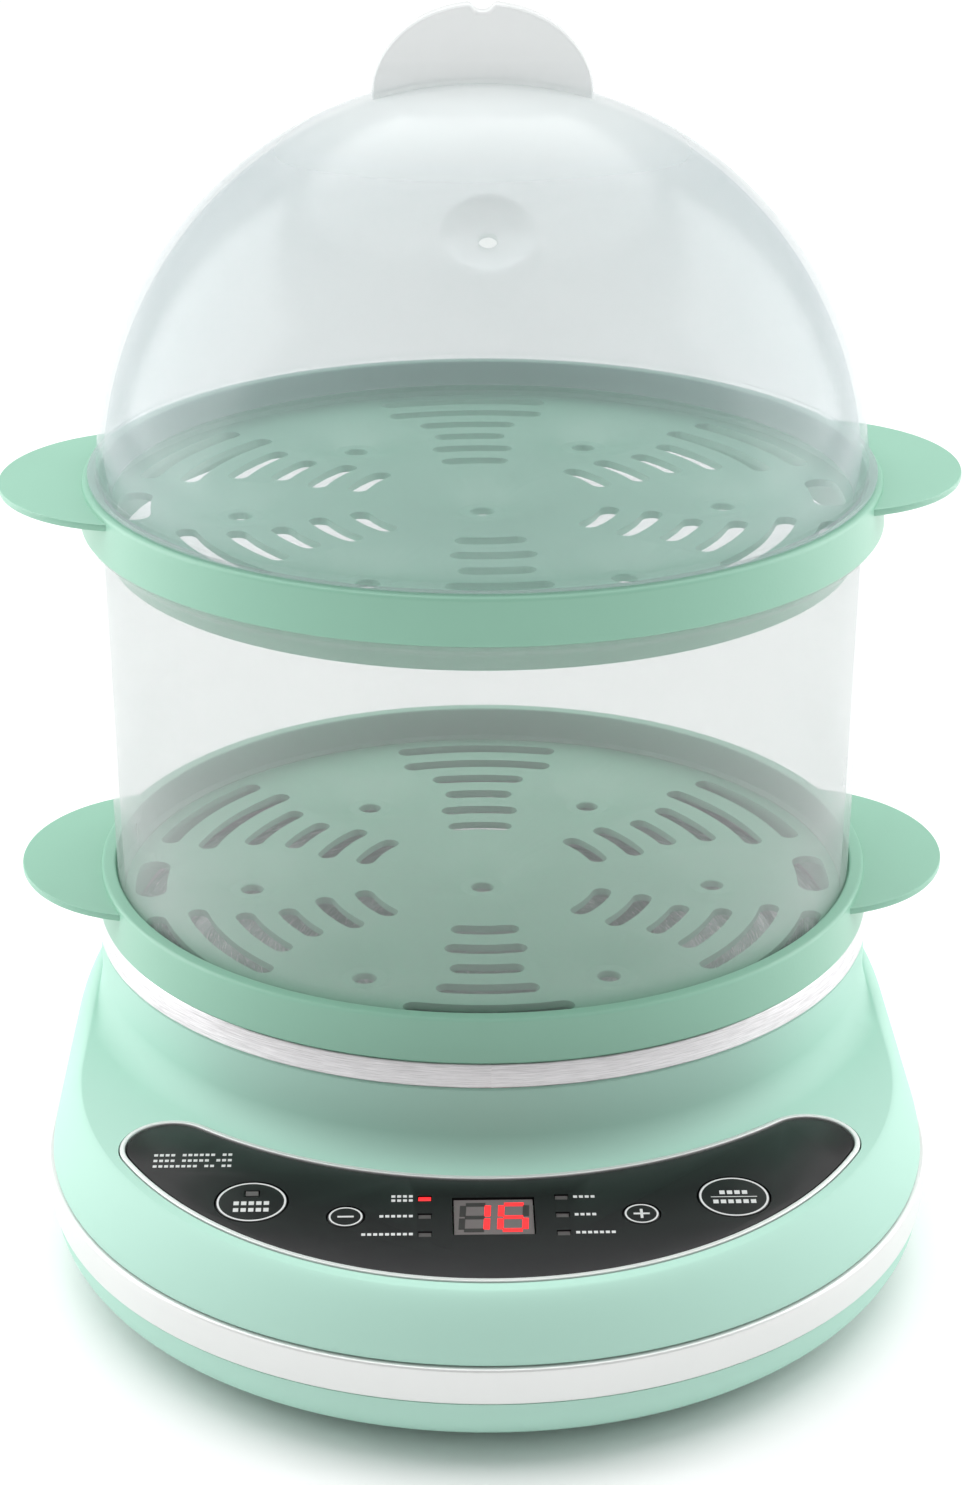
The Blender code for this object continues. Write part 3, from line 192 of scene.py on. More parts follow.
class GrowthGraph(Graph):
    """A Geometry Nodes tree that grows pieces from points."""

    def __init__(self, name: str, inputs: dict[str, str]) -> None:
        """Start a tree with named inputs, given as name and socket type."""
        super().__init__(bpy.data.node_groups.new(name, "GeometryNodeTree"))
        face = self.tree.interface
        face.new_socket("Geometry", in_out="INPUT", socket_type="NodeSocketGeometry")
        for label, kind in inputs.items():
            face.new_socket(label, in_out="INPUT", socket_type=kind)
        face.new_socket("Finish", in_out="INPUT", socket_type="NodeSocketMaterial")
        face.new_socket("Geometry", in_out="OUTPUT", socket_type="NodeSocketGeometry")
        self.source = self.tree.nodes.new("NodeGroupInput")

    def given(self, name: str) -> Value:
        """A named input of the tree."""
        return Value(self, self.source.outputs[name])

    def attribute(self, name: str, kind: str) -> Value:
        """A named attribute of the points."""
        return self.node("GeometryNodeInputNamedAttribute", {"data_type": kind}, {"Name": name})

    def joined(self, *shapes: Value) -> Value:
        """Several shapes as one."""
        joiner = self.tree.nodes.new("GeometryNodeJoinGeometry")
        for shape in shapes:
            self.tree.links.new(shape.socket, joiner.inputs[0])
        return Value(self, joiner.outputs[0])

    def moved(self, shape: Value, offset: Any) -> Value:
        """A shape in another place."""
        return self.node("GeometryNodeTransform", {}, {"Geometry": shape, "Translation": offset})

    def fused(self, *shapes: Value) -> Value:
        """Several shapes as one solid."""
        settings = {"operation": "UNION", "solver": "EXACT"}
        return self.node("GeometryNodeMeshBoolean", settings, {"Mesh 2": self.joined(*shapes)})

    def upright(self, facets: int, radius: Any, height: Any, middle: Any) -> Value:
        """An upright cylinder whose middle is at a height."""
        inputs = {"Vertices": facets, "Radius": radius, "Depth": height}
        rod = self.node("GeometryNodeMeshCylinder", {}, inputs)
        return self.moved(rod, self.node("ShaderNodeCombineXYZ", {}, {"Z": middle}))

    def stand(self, shape: Value) -> None:
        """End the tree with the shape on every point."""
        inputs = {"Points": self.given("Geometry"), "Instance": shape}
        self.close(self.node("GeometryNodeInstanceOnPoints", {}, inputs))

    def close(self, shape: Value) -> None:
        """End the tree: real copies in their finish."""
        real = self.node("GeometryNodeRealizeInstances", {}, {0: shape})
        inputs = {"Geometry": real, "Material": self.given("Finish")}
        dressed = self.node("GeometryNodeSetMaterial", {}, inputs)
        end = self.tree.nodes.new("NodeGroupOutput")
        self.tree.links.new(dressed.socket, end.inputs[0])

    def grow(
        self,
        name: str,
        points: Sequence[Point],
        sizes: dict[str, Any],
        finish: "Finish",
        place: Matrix,
        marks: dict[str, list[Any]] | None = None,
    ) -> bpy.types.Object:
        """Run the tree on points and keep the result as a plain mesh.

        Args:
            name: the new piece's name.
            points: where copies go, in millimetres.
            sizes: a value for each named input.
            finish: what the piece is made of.
            place: where the points' frame stands, in metres.
            marks: named attributes, one value for each point.

        Returns:
            The piece.
        """
        mesh = bpy.data.meshes.new(f"{name}_points")
        mesh.from_pydata([[value * MM for value in point] for point in points], [], [])
        for label, values in (marks or {}).items():
            flat = isinstance(values[0], float)
            made = mesh.attributes.new(label, "FLOAT" if flat else "FLOAT_VECTOR", "POINT")
            made.data.foreach_set(
                "value" if flat else "vector", values if flat else [v for row in values for v in row]
            )
        obj = bpy.data.objects.new(name, mesh)
        bpy.context.scene.collection.objects.link(obj)
        modifier = obj.modifiers.new("growth", "NODES")
        modifier.node_group = self.tree
        for item in self.tree.interface.items_tree:
            if item.in_out == "INPUT" and item.name in sizes:
                modifier[item.identifier] = sizes[item.name]
            if item.in_out == "INPUT" and item.name == "Finish":
                modifier[item.identifier] = finish.material()
        settle(obj)
        obj.data.transform(place)
        smooth(obj)
        return obj


# ---------------------------------------------------------------- finishes


@dataclass(frozen=True)
class Finish:
    """What a piece is made of: a colour and a sheen, never quite even."""

    name: str
    slot: str
    colour: Colour
    roughness: float = 0.45
    metallic: float = 0.0
    grain: float = 0.0006
    depth: float = 0.00002
    mottle: float = 0.03
    coat: float = 0.0
    gloss: float = 0.5

    def material(self) -> bpy.types.Material:
        """The material, made once."""
        known = bpy.data.materials.get(self.name)
        if known:
            return known
        material = bpy.data.materials.new(self.name)
        material.use_nodes = True
        shader = material.node_tree.nodes["Principled BSDF"]
        shader.inputs["Metallic"].default_value = self.metallic
        shader.inputs["Coat Weight"].default_value = self.coat
        shader.inputs["Specular IOR Level"].default_value = self.gloss
        self.dress(SurfaceGraph(material.node_tree), shader.inputs)
        return material

    def shade(self, factor: float) -> Colour:
        """The finish's colour, darker or lighter."""
        return tuple(min(1.0, value * factor) for value in self.colour)

    def dress(self, graph: SurfaceGraph, sockets: bpy.types.NodeInputs) -> None:
        """Moulded or plated: cloudy colour, uneven sheen and a fine tooth."""
        cloud = graph.noise(0.022, 3.0)
        tooth = graph.noise(self.grain, 2.0)
        tint = graph.blend(self.shade(1 - self.mottle), self.shade(1 + self.mottle), cloud)
        graph.feed(sockets["Base Color"], tint)
        sheen = self.roughness - 0.04 + 0.05 * cloud + 0.04 * tooth
        graph.feed(sockets["Roughness"], sheen)
        graph.feed(sockets["Normal"], graph.bump(tooth, self.depth))


@dataclass(frozen=True)
class Brushed(Finish):
    """Metal with hairlines that run round an upright axis."""

    axis_y: float = 0.0225
    hair: float = 0.00016
    run: float = 0.006
    contrast: float = 0.16

    def dress(self, graph: SurfaceGraph, sockets: bpy.types.NodeInputs) -> None:
        """Hairlines in colour, sheen and height."""
        place = graph.place()
        split = graph.node("ShaderNodeSeparateXYZ", {}, {0: place}, "X")
        x, y, z = split, split.part("Y") - self.axis_y, split.part("Z")
        reach = x.length_with(y)
        turn = x.angle_to(y) * (0.085 / self.run)
        streak = graph.node(
            "ShaderNodeCombineXYZ", {}, {"X": turn, "Y": reach / self.hair, "Z": z / self.hair}
        )
        inputs = {"Vector": streak, "Scale": 1.0, "Detail": 3.0, "Roughness": 0.65}
        hair = graph.node("ShaderNodeTexNoise", {}, inputs, "Fac")
        sharp = hair.between(0.28, 0.72)
        tint = graph.blend(self.shade(1 - self.contrast), self.shade(1 + self.contrast), sharp)
        graph.feed(sockets["Base Color"], tint)
        graph.feed(sockets["Roughness"], self.roughness + 0.16 * sharp)
        graph.feed(sockets["Normal"], graph.bump(hair, self.depth, 0.6))


@dataclass(frozen=True)
class Clear(Finish):
    """A see-through moulding, cloudy in patches, with painted light that can whiten its crown."""

    opacity: float = 0.16
    edge: float = 0.30
    # crown: the heights where painted light on a dome's top starts and ends, and the opacity it adds
    crown: tuple[float, float, float] | None = None
    painted_light_colour: Colour = (0.93, 0.95, 0.95)

    def dress(self, graph: SurfaceGraph, sockets: bpy.types.NodeInputs) -> None:
        """Milky where it is seen along its wall, with painted light that whitens it towards its crown."""
        cloud = graph.noise(0.035, 3.0)
        fine = graph.noise(0.0009, 2.0)
        tint = graph.blend(self.shade(1 - self.mottle), self.shade(1 + self.mottle), cloud)
        graph.feed(sockets["Roughness"], self.roughness + 0.05 * cloud)
        graph.feed(sockets["Normal"], graph.bump(fine, self.depth, 0.4))
        facing = graph.node("ShaderNodeLayerWeight", {}, {"Blend": 0.32}, "Facing")
        alpha = self.opacity + self.edge * facing * facing + 0.03 * cloud
        # painted light: the crown turns whiter and less see-through towards the top
        if self.crown:
            low, high, painted_light_opacity = self.crown
            height = graph.node("ShaderNodeSeparateXYZ", {}, {0: graph.place()}, "Z")
            painted_crown_light = height.between(low, high)
            alpha = alpha + painted_light_opacity * painted_crown_light
            inputs = {0: painted_crown_light, 6: tint, 7: (*self.painted_light_colour, 1.0)}
            tint = graph.node("ShaderNodeMix", {"data_type": "RGBA"}, inputs, 2)
        graph.feed(sockets["Base Color"], tint)
        graph.feed(sockets["Alpha"], alpha)


@dataclass(frozen=True)
class Panel(Finish):
    """Glossy black, with a painted reflection that makes it greyer towards the front."""

    # the grey of the painted reflection at the panel's front
    painted_reflection_grey: Colour = (0.040, 0.038, 0.040)
    back: float = -0.076
    front: float = -0.108

    def dress(self, graph: SurfaceGraph, sockets: bpy.types.NodeInputs) -> None:
        """A painted reflection that greys the face towards the front, with faint finger marks in its sheen.
        """
        depth = graph.node("ShaderNodeSeparateXYZ", {}, {0: graph.place()}, "Y")
        # painted reflection: the face turns greyer towards the front
        painted_reflection = 1 - depth.between(self.front, self.back)
        graph.feed(sockets["Base Color"], graph.blend(self.colour, self.painted_reflection_grey, painted_reflection))
        smear = graph.noise(0.012, 4.0)
        graph.feed(sockets["Roughness"], self.roughness + 0.06 * smear.between(0.45, 0.75))


@dataclass(frozen=True)
class Lit(Finish):
    """A light guide that glows."""

    glow: Colour = (1.0, 0.02, 0.03)
    power: float = 1.0

    def dress(self, graph: SurfaceGraph, sockets: bpy.types.NodeInputs) -> None:
        """An uneven glow on a tinted face."""
        cloud = graph.noise(0.0012, 2.0)
        dim = tuple(value * 0.8 for value in self.glow)
        graph.feed(sockets["Base Color"], graph.blend(self.shade(0.9), self.shade(1.1), cloud))
        graph.feed(sockets["Emission Color"], graph.blend(dim, self.glow, cloud))
        sockets["Emission Strength"].default_value = self.power
        sockets["Roughness"].default_value = self.roughness


@dataclass(frozen=True)
class Laminate(Finish):
    """A circuit board: solder mask over copper tracks."""

    pitch: float = 0.0024

    def dress(self, graph: SurfaceGraph, sockets: bpy.types.NodeInputs) -> None:
        """Tracks show as lighter lines, a little raised."""
        inputs = {"Vector": graph.place(), "Scale": 1.0 / self.pitch}
        inputs |= {"Color1": (1, 1, 1, 1), "Color2": (1, 1, 1, 1), "Mortar": (0, 0, 0, 1)}
        inputs["Mortar Size"] = 0.09
        track = graph.node("ShaderNodeTexBrick", {}, inputs, "Fac")
        graph.feed(sockets["Base Color"], graph.blend(self.colour, self.shade(2.2), track))
        graph.feed(sockets["Roughness"], self.roughness + 0.1 * track)
        graph.feed(sockets["Normal"], graph.bump(track, self.depth))


@dataclass(frozen=True)
class Woven(Finish):
    """A braided sleeve."""

    strand: float = 0.0007

    def dress(self, graph: SurfaceGraph, sockets: bpy.types.NodeInputs) -> None:
        """Crossing strands in height and colour."""
        waves = []
        for direction in ("X", "Z"):
            settings = {"wave_type": "BANDS", "bands_direction": direction}
            inputs = {"Vector": graph.place(), "Scale": 0.3 / self.strand, "Distortion": 1.0}
            waves.append(graph.node("ShaderNodeTexWave", settings, inputs, "Fac"))
        weave = waves[0] * waves[1]
        graph.feed(sockets["Base Color"], graph.blend(self.shade(0.75), self.colour, weave))
        graph.feed(sockets["Roughness"], self.roughness - 0.1 * weave)
        graph.feed(sockets["Normal"], graph.bump(weave, self.depth))


MINT = Finish("mint_plastic", "mint_plastic", (0.225, 0.375, 0.31), 0.36, coat=0.12)
MINT_TRAY = Finish("mint_tray_plastic", "mint_plastic", (0.27, 0.53, 0.40), 0.38, coat=0.1)
TRIM = Finish("satin_silver_trim", "satin_trim", (0.80, 0.81, 0.80), 0.30, 0.35, depth=0.000008)
COLLAR = Brushed(
    "brushed_collar", "brushed_steel", (0.68, 0.67, 0.68), 0.30, 1.0, depth=0.00003, contrast=0.3,
)
DISH = Brushed("spun_dish_steel", "bright_steel", (0.72, 0.72, 0.73), 0.16, 1.0, contrast=0.06)
PLAIN_STEEL = Finish("zinc_plate", "brushed_steel", (0.62, 0.62, 0.63), 0.34, 1.0)
SHEATH = Finish("heater_sheath", "dark_steel", (0.22, 0.21, 0.20), 0.5, 1.0, mottle=0.2)
# the lid's crown carries painted light: whiter and more opaque towards the top
LID = Clear(
    "clear_lid_plastic", "clear_plastic", (0.50, 0.57, 0.59), 0.16, depth=0.000006,
    opacity=0.21, edge=0.42, crown=(0.222, 0.244, 0.42),
)
CHAMBER = Clear(
    "clear_chamber_plastic", "clear_plastic", (0.58, 0.61, 0.61), 0.24, depth=0.00001,
    opacity=0.19, edge=0.40,
)
BLACK_GLASS = Panel("gloss_black_panel", "black_panel", (0.007, 0.0065, 0.007), 0.30, gloss=0.22)
INK = Finish("white_ink", "black_panel", (0.72, 0.72, 0.72), 0.5, depth=0.000004)
DIM_SEGMENT = Finish("unlit_segment", "light_bar", (0.035, 0.03, 0.03), 0.5, depth=0.000004)
DIM_BAR = Finish("unlit_light_bar", "light_bar", (0.10, 0.09, 0.09), 0.45, depth=0.000004)
RED = Lit("lit_segment", "light_bar", (0.75, 0.02, 0.02), 0.4, power=1.1)
WINDOW = Finish("display_face", "black_plastic", (0.17, 0.15, 0.15), 0.4, depth=0.000004, gloss=0.2)
BLACK = Finish("black_moulding", "black_plastic", (0.02, 0.02, 0.022), 0.45)
RUBBER = Finish("black_rubber", "rubber", (0.028, 0.028, 0.03), 0.75, depth=0.00005)
SILICONE = Finish("clear_silicone", "silicone", (0.62, 0.60, 0.55), 0.55)
BOARD = Laminate("green_board", "circuit_board", (0.02, 0.13, 0.055), 0.35)
AMBER = Finish("amber_tape", "amber_tape", (0.70, 0.40, 0.06), 0.35, mottle=0.12)
NAVY = Finish("blue_case", "blue_sleeve", (0.02, 0.05, 0.18), 0.35)
GREEN = Finish("green_terminal", "green_plastic", (0.05, 0.34, 0.14), 0.42)
SLEEVE = Woven("glass_fibre_sleeve", "white_sleeve", (0.72, 0.70, 0.66), 0.8, depth=0.00008)
RIBBON = Finish("grey_ribbon", "grey_ribbon", (0.42, 0.42, 0.44), 0.5)


# ---------------------------------------------------------------- shapes


class Join(Enum):
    """What one shape does to another."""

    ADD = "UNION"
    CUT = "DIFFERENCE"


class Shape:
    """A closed mesh in the making, in millimetres."""

    def __init__(self) -> None:
        """Start with nothing."""
        self.bm = bmesh.new()

    def _bridge(self, ring: list, following: list) -> None:
        """Faces between two rings, of which either may be one point."""
        count = max(len(ring), len(following))
        for step in range(count):
            after = step + 1
            corners = [ring[step % len(ring)], ring[after % len(ring)]]
            corners += [following[after % len(following)], following[step % len(following)]]
            self.bm.faces.new(list(dict.fromkeys(corners)))

    def loft(self, rings: Sequence[Sequence[Point]], closed: bool = False) -> "Shape":
        """A skin through rings; the last joins the first, or both ends are capped."""
        made = [[self.bm.verts.new(point) for point in ring] for ring in rings]
        for ring, following in zip(made, made[1:]):
            self._bridge(ring, following)
        if closed:
            self._bridge(made[-1], made[0])
            return self
        for end in (made[0], made[-1]):
            if len(end) > 2:
                self.bm.faces.new(end)
        return self

    def turned(
        self, profile: Sequence[Flat], facets: int = ROUND_FACETS, centre: Flat = (0.0, 0.0)
    ) -> "Shape":
        """A turned shape; a profile that starts on the axis also ends there."""
        closed = profile[0][0] > 0
        rings = []
        for radius, height in profile:
            steps = facets if radius > 0 else 1
            ring = [
                (centre[0] + radius * math.sin(a), centre[1] - radius * math.cos(a), height)
                for a in (FULL_TURN * step / steps for step in range(steps))
            ]
            rings.append(ring)
        return self.loft(rings, closed)

    def prism(self, outline: Sequence[Flat], bottom: float, top: float) -> "Shape":
        """An upright prism."""
        return self.loft([[(x, y, z) for x, y in outline] for z in (bottom, top)])

    def block(self, size: Point, middle: Flat, bottom: float) -> "Shape":
        """A block that stands on a height."""
        x, y = size[0] / 2, size[1] / 2
        corners = [(-x, -y), (x, -y), (x, y), (-x, y)]
        outline = [(middle[0] + u, middle[1] + v) for u, v in corners]
        return self.prism(outline, bottom, bottom + size[2])

    def made(self, name: str, place: Matrix) -> bpy.types.Object:
        """The finished object, with its place in its mesh."""
        bmesh.ops.recalc_face_normals(self.bm, faces=self.bm.faces)
        mesh = bpy.data.meshes.new(name)
        self.bm.to_mesh(mesh)
        self.bm.free()
        mesh.transform(place @ Matrix.Scale(MM, 4))
        obj = bpy.data.objects.new(name, mesh)
        bpy.context.scene.collection.objects.link(obj)
        smooth(obj)
        return obj


def smooth(obj: bpy.types.Object) -> None:
    """Shade round faces smooth and leave real edges sharp."""
    obj.data.shade_smooth()
    obj.data.set_sharp_from_angle(angle=SHARP)


def settle(obj: bpy.types.Object) -> None:
    """Turn an object's modifiers into its plain mesh."""
    graph = bpy.context.evaluated_depsgraph_get()
    mesh = bpy.data.meshes.new_from_object(obj.evaluated_get(graph))
    obj.modifiers.clear()
    obj.data = mesh


def combine(obj: bpy.types.Object, other: bpy.types.Object, how: Join) -> None:
    """Add another shape to a piece or cut it away, and drop the other."""
    modifier = obj.modifiers.new(other.name, "BOOLEAN")
    modifier.object = other
    modifier.operation = how.value
    modifier.solver = "EXACT"
    settle(obj)
    bpy.data.objects.remove(other)
    smooth(obj)


def weigh(obj: bpy.types.Object) -> None:
    """Let large faces rule the shading of small ones beside them."""
    modifier = obj.modifiers.new("weighted", "WEIGHTED_NORMAL")
    modifier.keep_sharp = True
    settle(obj)


def ease(obj: bpy.types.Object, width: float, segments: int = 3) -> None:
    """Round a piece's sharp edges by a width in millimetres."""
    modifier = obj.modifiers.new("eased", "BEVEL")
    modifier.width = width * MM
    modifier.segments = segments
    modifier.limit_method = "ANGLE"
    modifier.angle_limit = SHARP
    settle(obj)
    smooth(obj)


def rounded(corners: Sequence[tuple[float, float, float]], closed: bool = True) -> list[Flat]:
    """A section with its corners rounded.

    Args:
        corners: across, up and the corner's radius.
        closed: whether the last corner leads back to the first.

    Returns:
        The section's points.
    """
    points: list[Flat] = []
    count = len(corners)
    for index, (x, y, radius) in enumerate(corners):
        inner = closed or 0 < index < count - 1
        if radius <= 0 or not inner:
            points.append((x, y))
            continue
        here = Vector((x, y))
        before = Vector(corners[index - 1][:2]) - here
        after = Vector(corners[(index + 1) % count][:2]) - here
        half = before.angle(after) / 2
        back = min(radius / math.tan(half), 0.48 * before.length, 0.48 * after.length)
        start, end = here + before.normalized() * back, here + after.normalized() * back
        for step in range(6):
            t = step / 5
            spot = start * (1 - t) ** 2 + here * 2 * t * (1 - t) + end * t**2
            points.append((spot.x, spot.y))
    return points


def arc(centre: Flat, radius: float, start: float, end: float, step: float = 0.035) -> list[Flat]:
    """Points on an arc; angles are counted from -Y towards +X."""
    steps = max(3, math.ceil(abs(end - start) / step))
    angles = [start + (end - start) * k / steps for k in range(steps + 1)]
    return [(centre[0] + radius * math.sin(a), centre[1] - radius * math.cos(a)) for a in angles]


def dressed(
    obj: bpy.types.Object, finish: Finish, body: str, nodes: Sequence[str] = ()
) -> bpy.types.Object:
    """Give a piece its finish and its body, and let it stand for CAD nodes."""
    obj.data.materials.clear()
    obj.data.materials.append(finish.material())
    if nodes:
        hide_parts(*nodes)
    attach(obj, body)
    LOG.info("%s: %d faces on %s", obj.name, len(obj.data.polygons), body)
    return obj


# ---------------------------------------------------------------- base


@dataclass
class BasePlan:
    """The base's outline: half a circle at the back, drawn out to the front."""

    radius: float = 93.3
    reach: float = 45.0
    facets: int = 240
    deck_rise: float = 14.1
    deck_tilt: float = math.radians(2.0)
    panel_back: float = 91.6

    def __post_init__(self) -> None:
        """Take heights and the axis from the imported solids."""
        low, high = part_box("steel_collar")
        self.axis_y = (low.y + high.y) / 2 / MM
        self.place = Matrix.Translation((0, self.axis_y * MM, 0))
        low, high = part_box("base_trim_band")
        self.trim_bottom, self.trim_top = low.z / MM, high.z / MM
        self.seam = self.trim_top + GAP
        self.tower_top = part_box("upper_housing")[1].z / MM
        rise = self.deck_height(-self.panel_back)
        self.panel = (
            Matrix.Translation((0, (self.axis_y - self.panel_back) * MM, rise * MM))
            @ Matrix.Rotation(self.deck_tilt, 4, "X")
        )

    def reach_towards(self, angle: float, radius: float) -> float:
        """How far the outline of that end radius lies from the stack's axis."""
        across, ahead = abs(math.sin(angle)), math.cos(angle)
        if ahead <= 0:
            return radius
        if across > 0 and radius / across * ahead <= self.reach:
            return radius / across
        return self.reach * ahead + math.sqrt(radius**2 - (self.reach * across) ** 2)

    def ring(self, radius: float, height: float) -> list[Point]:
        """The outline at one height."""
        points = []
        for step in range(self.facets):
            angle = FULL_TURN * step / self.facets
            out = self.reach_towards(angle, radius)
            points.append((out * math.sin(angle), -out * math.cos(angle), height))
        return points

    def circle(self, radius: float, height: float) -> list[Point]:
        """A circle with the outline's facets."""
        angles = [FULL_TURN * step / self.facets for step in range(self.facets)]
        return [(radius * math.sin(a), -radius * math.cos(a), height) for a in angles]

    def deck_height(self, y: float) -> float:
        """The deck's height at a distance behind the stack's axis."""
        return self.seam + self.deck_rise + (y + self.panel_back) * math.tan(self.deck_tilt)

    def deck_ring(self, radius: float, drop: float = 0.0) -> list[Point]:
        """The outline laid on the deck, or below it."""
        return [(x, y, self.deck_height(y) - drop) for x, y, _ in self.ring(radius, 0)]


@dataclass
class PanelOutline:
    """The crescent of the control panel, in the deck's plane."""

    inner_radius: float = 96.1
    outer_radius: float = 85.1
    depth: float = 37.8
    tip_radius: float = 10.6

    def points(self, inset: float) -> list[Flat]:
        """The crescent drawn in by an inset."""
        inner, outer = self.inner_radius, self.outer_radius - self.depth
        near, far = self.outer_radius - self.tip_radius, self.inner_radius + self.tip_radius
        along = (inner**2 - outer**2 - far**2 + near**2) / (2 * (inner - outer))
        across = math.sqrt(near**2 - (along - outer) ** 2)
        wide, narrow = math.atan2(across, outer - along), math.atan2(across, inner - along)
        tip = self.tip_radius - inset
        found = arc((0, outer), self.outer_radius - inset, -wide, wide)
        found += arc((across, along), tip, wide, math.pi + narrow, 0.12)[1:]
        found += arc((0, inner), self.inner_radius + inset, narrow, -narrow)[1:]
        return found + arc((-across, along), tip, math.pi - narrow, FULL_TURN - wide, 0.12)[1:-1]


@dataclass
class Base:
    """Pan, trim band, housing, collar, dish, gland, feet and screws."""

    plan: BasePlan
    outline: PanelOutline
    shoulder: float = 6.8
    lean: float = 1.333
    tower: float = 86.0
    fillet: float = 6.0
    ledge_drop: float = 5.2
    ledge_width: float = 6.6
    pan_rounding: float = 11.0
    pan_bottom: float = 3.0
    trim_proud: float = 0.9
    trim_depth: float = 3.2
    collar_radii: tuple[float, float, float] = (86.3, 85.3, 82.2)
    vent_rows: int = 7
    vent_pitch: float = 7.0
    vent_middle: float = -59.0
    vent_half: float = 15.5
    vent_radius: float = 1.5
    head_room: float = 3.8
    shank_room: float = 1.9
    screw_root: float = 0.2

    def build(self) -> None:
        """Make every piece of the base."""
        self.make_pan()
        self.make_trim()
        self.make_housing()
        self.make_collar()
        self.make_dish()
        self.make_gland()
        self.make_feet()
        self.make_screws()

    def make_pan(self) -> None:
        """The rounded pan with its vents."""
        plan, bottom, turn = self.plan, self.pan_bottom, self.pan_rounding
        top = plan.radius + 0.3
        rings = []
        for wall in (0.0, WALL):
            floor = bottom + wall
            side = [plan.ring(top - turn - 3, floor), plan.ring(top - turn - 0.4, floor)]
            for step in range(13):
                a = math.pi / 2 * step / 12
                radius = top - turn + (turn - wall) * math.sin(a)
                side.append(plan.ring(radius, bottom + turn - (turn - wall) * math.cos(a)))
            side.append(plan.ring(top - wall, plan.trim_bottom - GAP))
            rings += side if wall == 0 else side[::-1]
        pan = Shape().loft(rings).made("pan_shell", plan.place)
        cuts = Shape()
        for row in range(self.vent_rows):
            along = (row - self.vent_rows // 2) * self.vent_pitch + self.vent_middle
            outline = arc((self.vent_half, along), self.vent_radius, 0, math.pi, 0.4)
            outline += arc((-self.vent_half, along), self.vent_radius, math.pi, FULL_TURN, 0.4)
            cuts.prism(outline, 0, 8)
        for number in range(1, 5):
            low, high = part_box(f"housing_screw_{number}")
            spot = ((low.x + high.x) / 2 / MM, (low.y + high.y) / 2 / MM - plan.axis_y)
            head, shank = self.head_room, self.shank_room
            profile = [(0, 0), (head, 0), (head, bottom), (shank, bottom + 0.6), (shank, 8), (0, 8)]
            cuts.turned(profile, 32, spot)
        combine(pan, cuts.made("pan_cuts", plan.place), Join.CUT)
        weigh(pan)
        dressed(pan, MINT, "base", ["bottom_pan"])

    def make_trim(self) -> None:
        """The silver band, its edges eased."""
        plan = self.plan
        outer, low, high = plan.radius + self.trim_proud, plan.trim_bottom, plan.trim_top
        inner = outer - self.trim_depth
        section = rounded([(outer, low, 0.7), (outer, high, 0.8), (inner, high, 0.2), (inner, low, 0.2)])
        band = Shape().loft([plan.ring(r, z) for r, z in section], closed=True)
        dressed(band.made("trim_band", plan.place), TRIM, "base", ["base_trim_band"])

    def shoulder_rings(self) -> list[list[Point]]:
        """The shoulder that leans in from the seam to the deck."""
        plan, steps = self.plan, 16
        edge = plan.deck_ring(plan.radius - self.shoulder)
        rings = [plan.ring(plan.radius - 0.5, plan.seam), plan.ring(plan.radius - 0.12, plan.seam + 0.12)]
        for step in range(1, steps):
            a = math.pi / 2 * step / steps
            radius = plan.radius - self.shoulder * (1 - math.cos(a) ** self.lean)
            rise = math.sin(a) ** self.lean
            ring = plan.ring(radius, plan.seam)
            rings.append([(x, y, z + (e[2] - z) * rise) for (x, y, z), e in zip(ring, edge)])
        return rings + [edge]

    def tower_rings(self) -> list[list[Point]]:
        """The hollow fillet from the deck into the tower."""
        plan, rings, steps = self.plan, [], 10
        edge = plan.ring(plan.radius - self.shoulder, 0)
        for step in range(steps + 1):
            a = math.pi / 2 * step / steps
            ring = []
            for x, y, _ in edge:
                out = math.hypot(x, y)
                fillet = min(self.fillet, 0.9 * (out - self.tower))
                radius = self.tower + fillet * (1 - math.sin(a))
                foot = plan.deck_height(y * (self.tower + fillet) / out)
                ring.append((x * radius / out, y * radius / out, foot + self.fillet * (1 - math.cos(a))))
            rings.append(ring)
        return rings

    def make_housing(self) -> None:
        """Shoulder, deck and tower, cut for the panel and the gland."""
        plan, bore = self.plan, self.tower - WALL
        top, ledge = plan.tower_top, plan.tower_top - self.ledge_drop
        rings = self.shoulder_rings() + self.tower_rings()
        rings += [
            plan.circle(self.tower, top - 0.4),
            plan.circle(self.tower - 0.4, top),
            plan.circle(bore, top),
            plan.circle(bore, ledge),
            plan.circle(bore - self.ledge_width, ledge),
            plan.circle(bore - self.ledge_width, ledge - WALL),
            plan.circle(bore, ledge - WALL),
            [(x, y, plan.deck_height(y) - WALL) for x, y, _ in plan.circle(bore, 0)],
            plan.deck_ring(plan.radius - self.shoulder - WALL, WALL),
            plan.ring(plan.radius - WALL, plan.seam),
        ]
        shell = Shape().loft(rings, closed=True).made("housing_shell", plan.place)
        hole = Shape().prism(self.outline.points(0), -7, 6).made("panel_opening", plan.panel)
        combine(shell, hole, Join.CUT)
        low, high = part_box("cord_gland")
        centre = Matrix.Translation((0, 0, (low.z + high.z) / 2)) @ Matrix.Rotation(-math.pi / 2, 4, "X")
        bore_cut = Shape().turned([(0, 90), (5.3, 90), (5.3, 120), (0, 120)], 48)
        combine(shell, bore_cut.made("gland_opening", centre), Join.CUT)
        weigh(shell)
        dressed(shell, MINT, "base", ["upper_housing"])

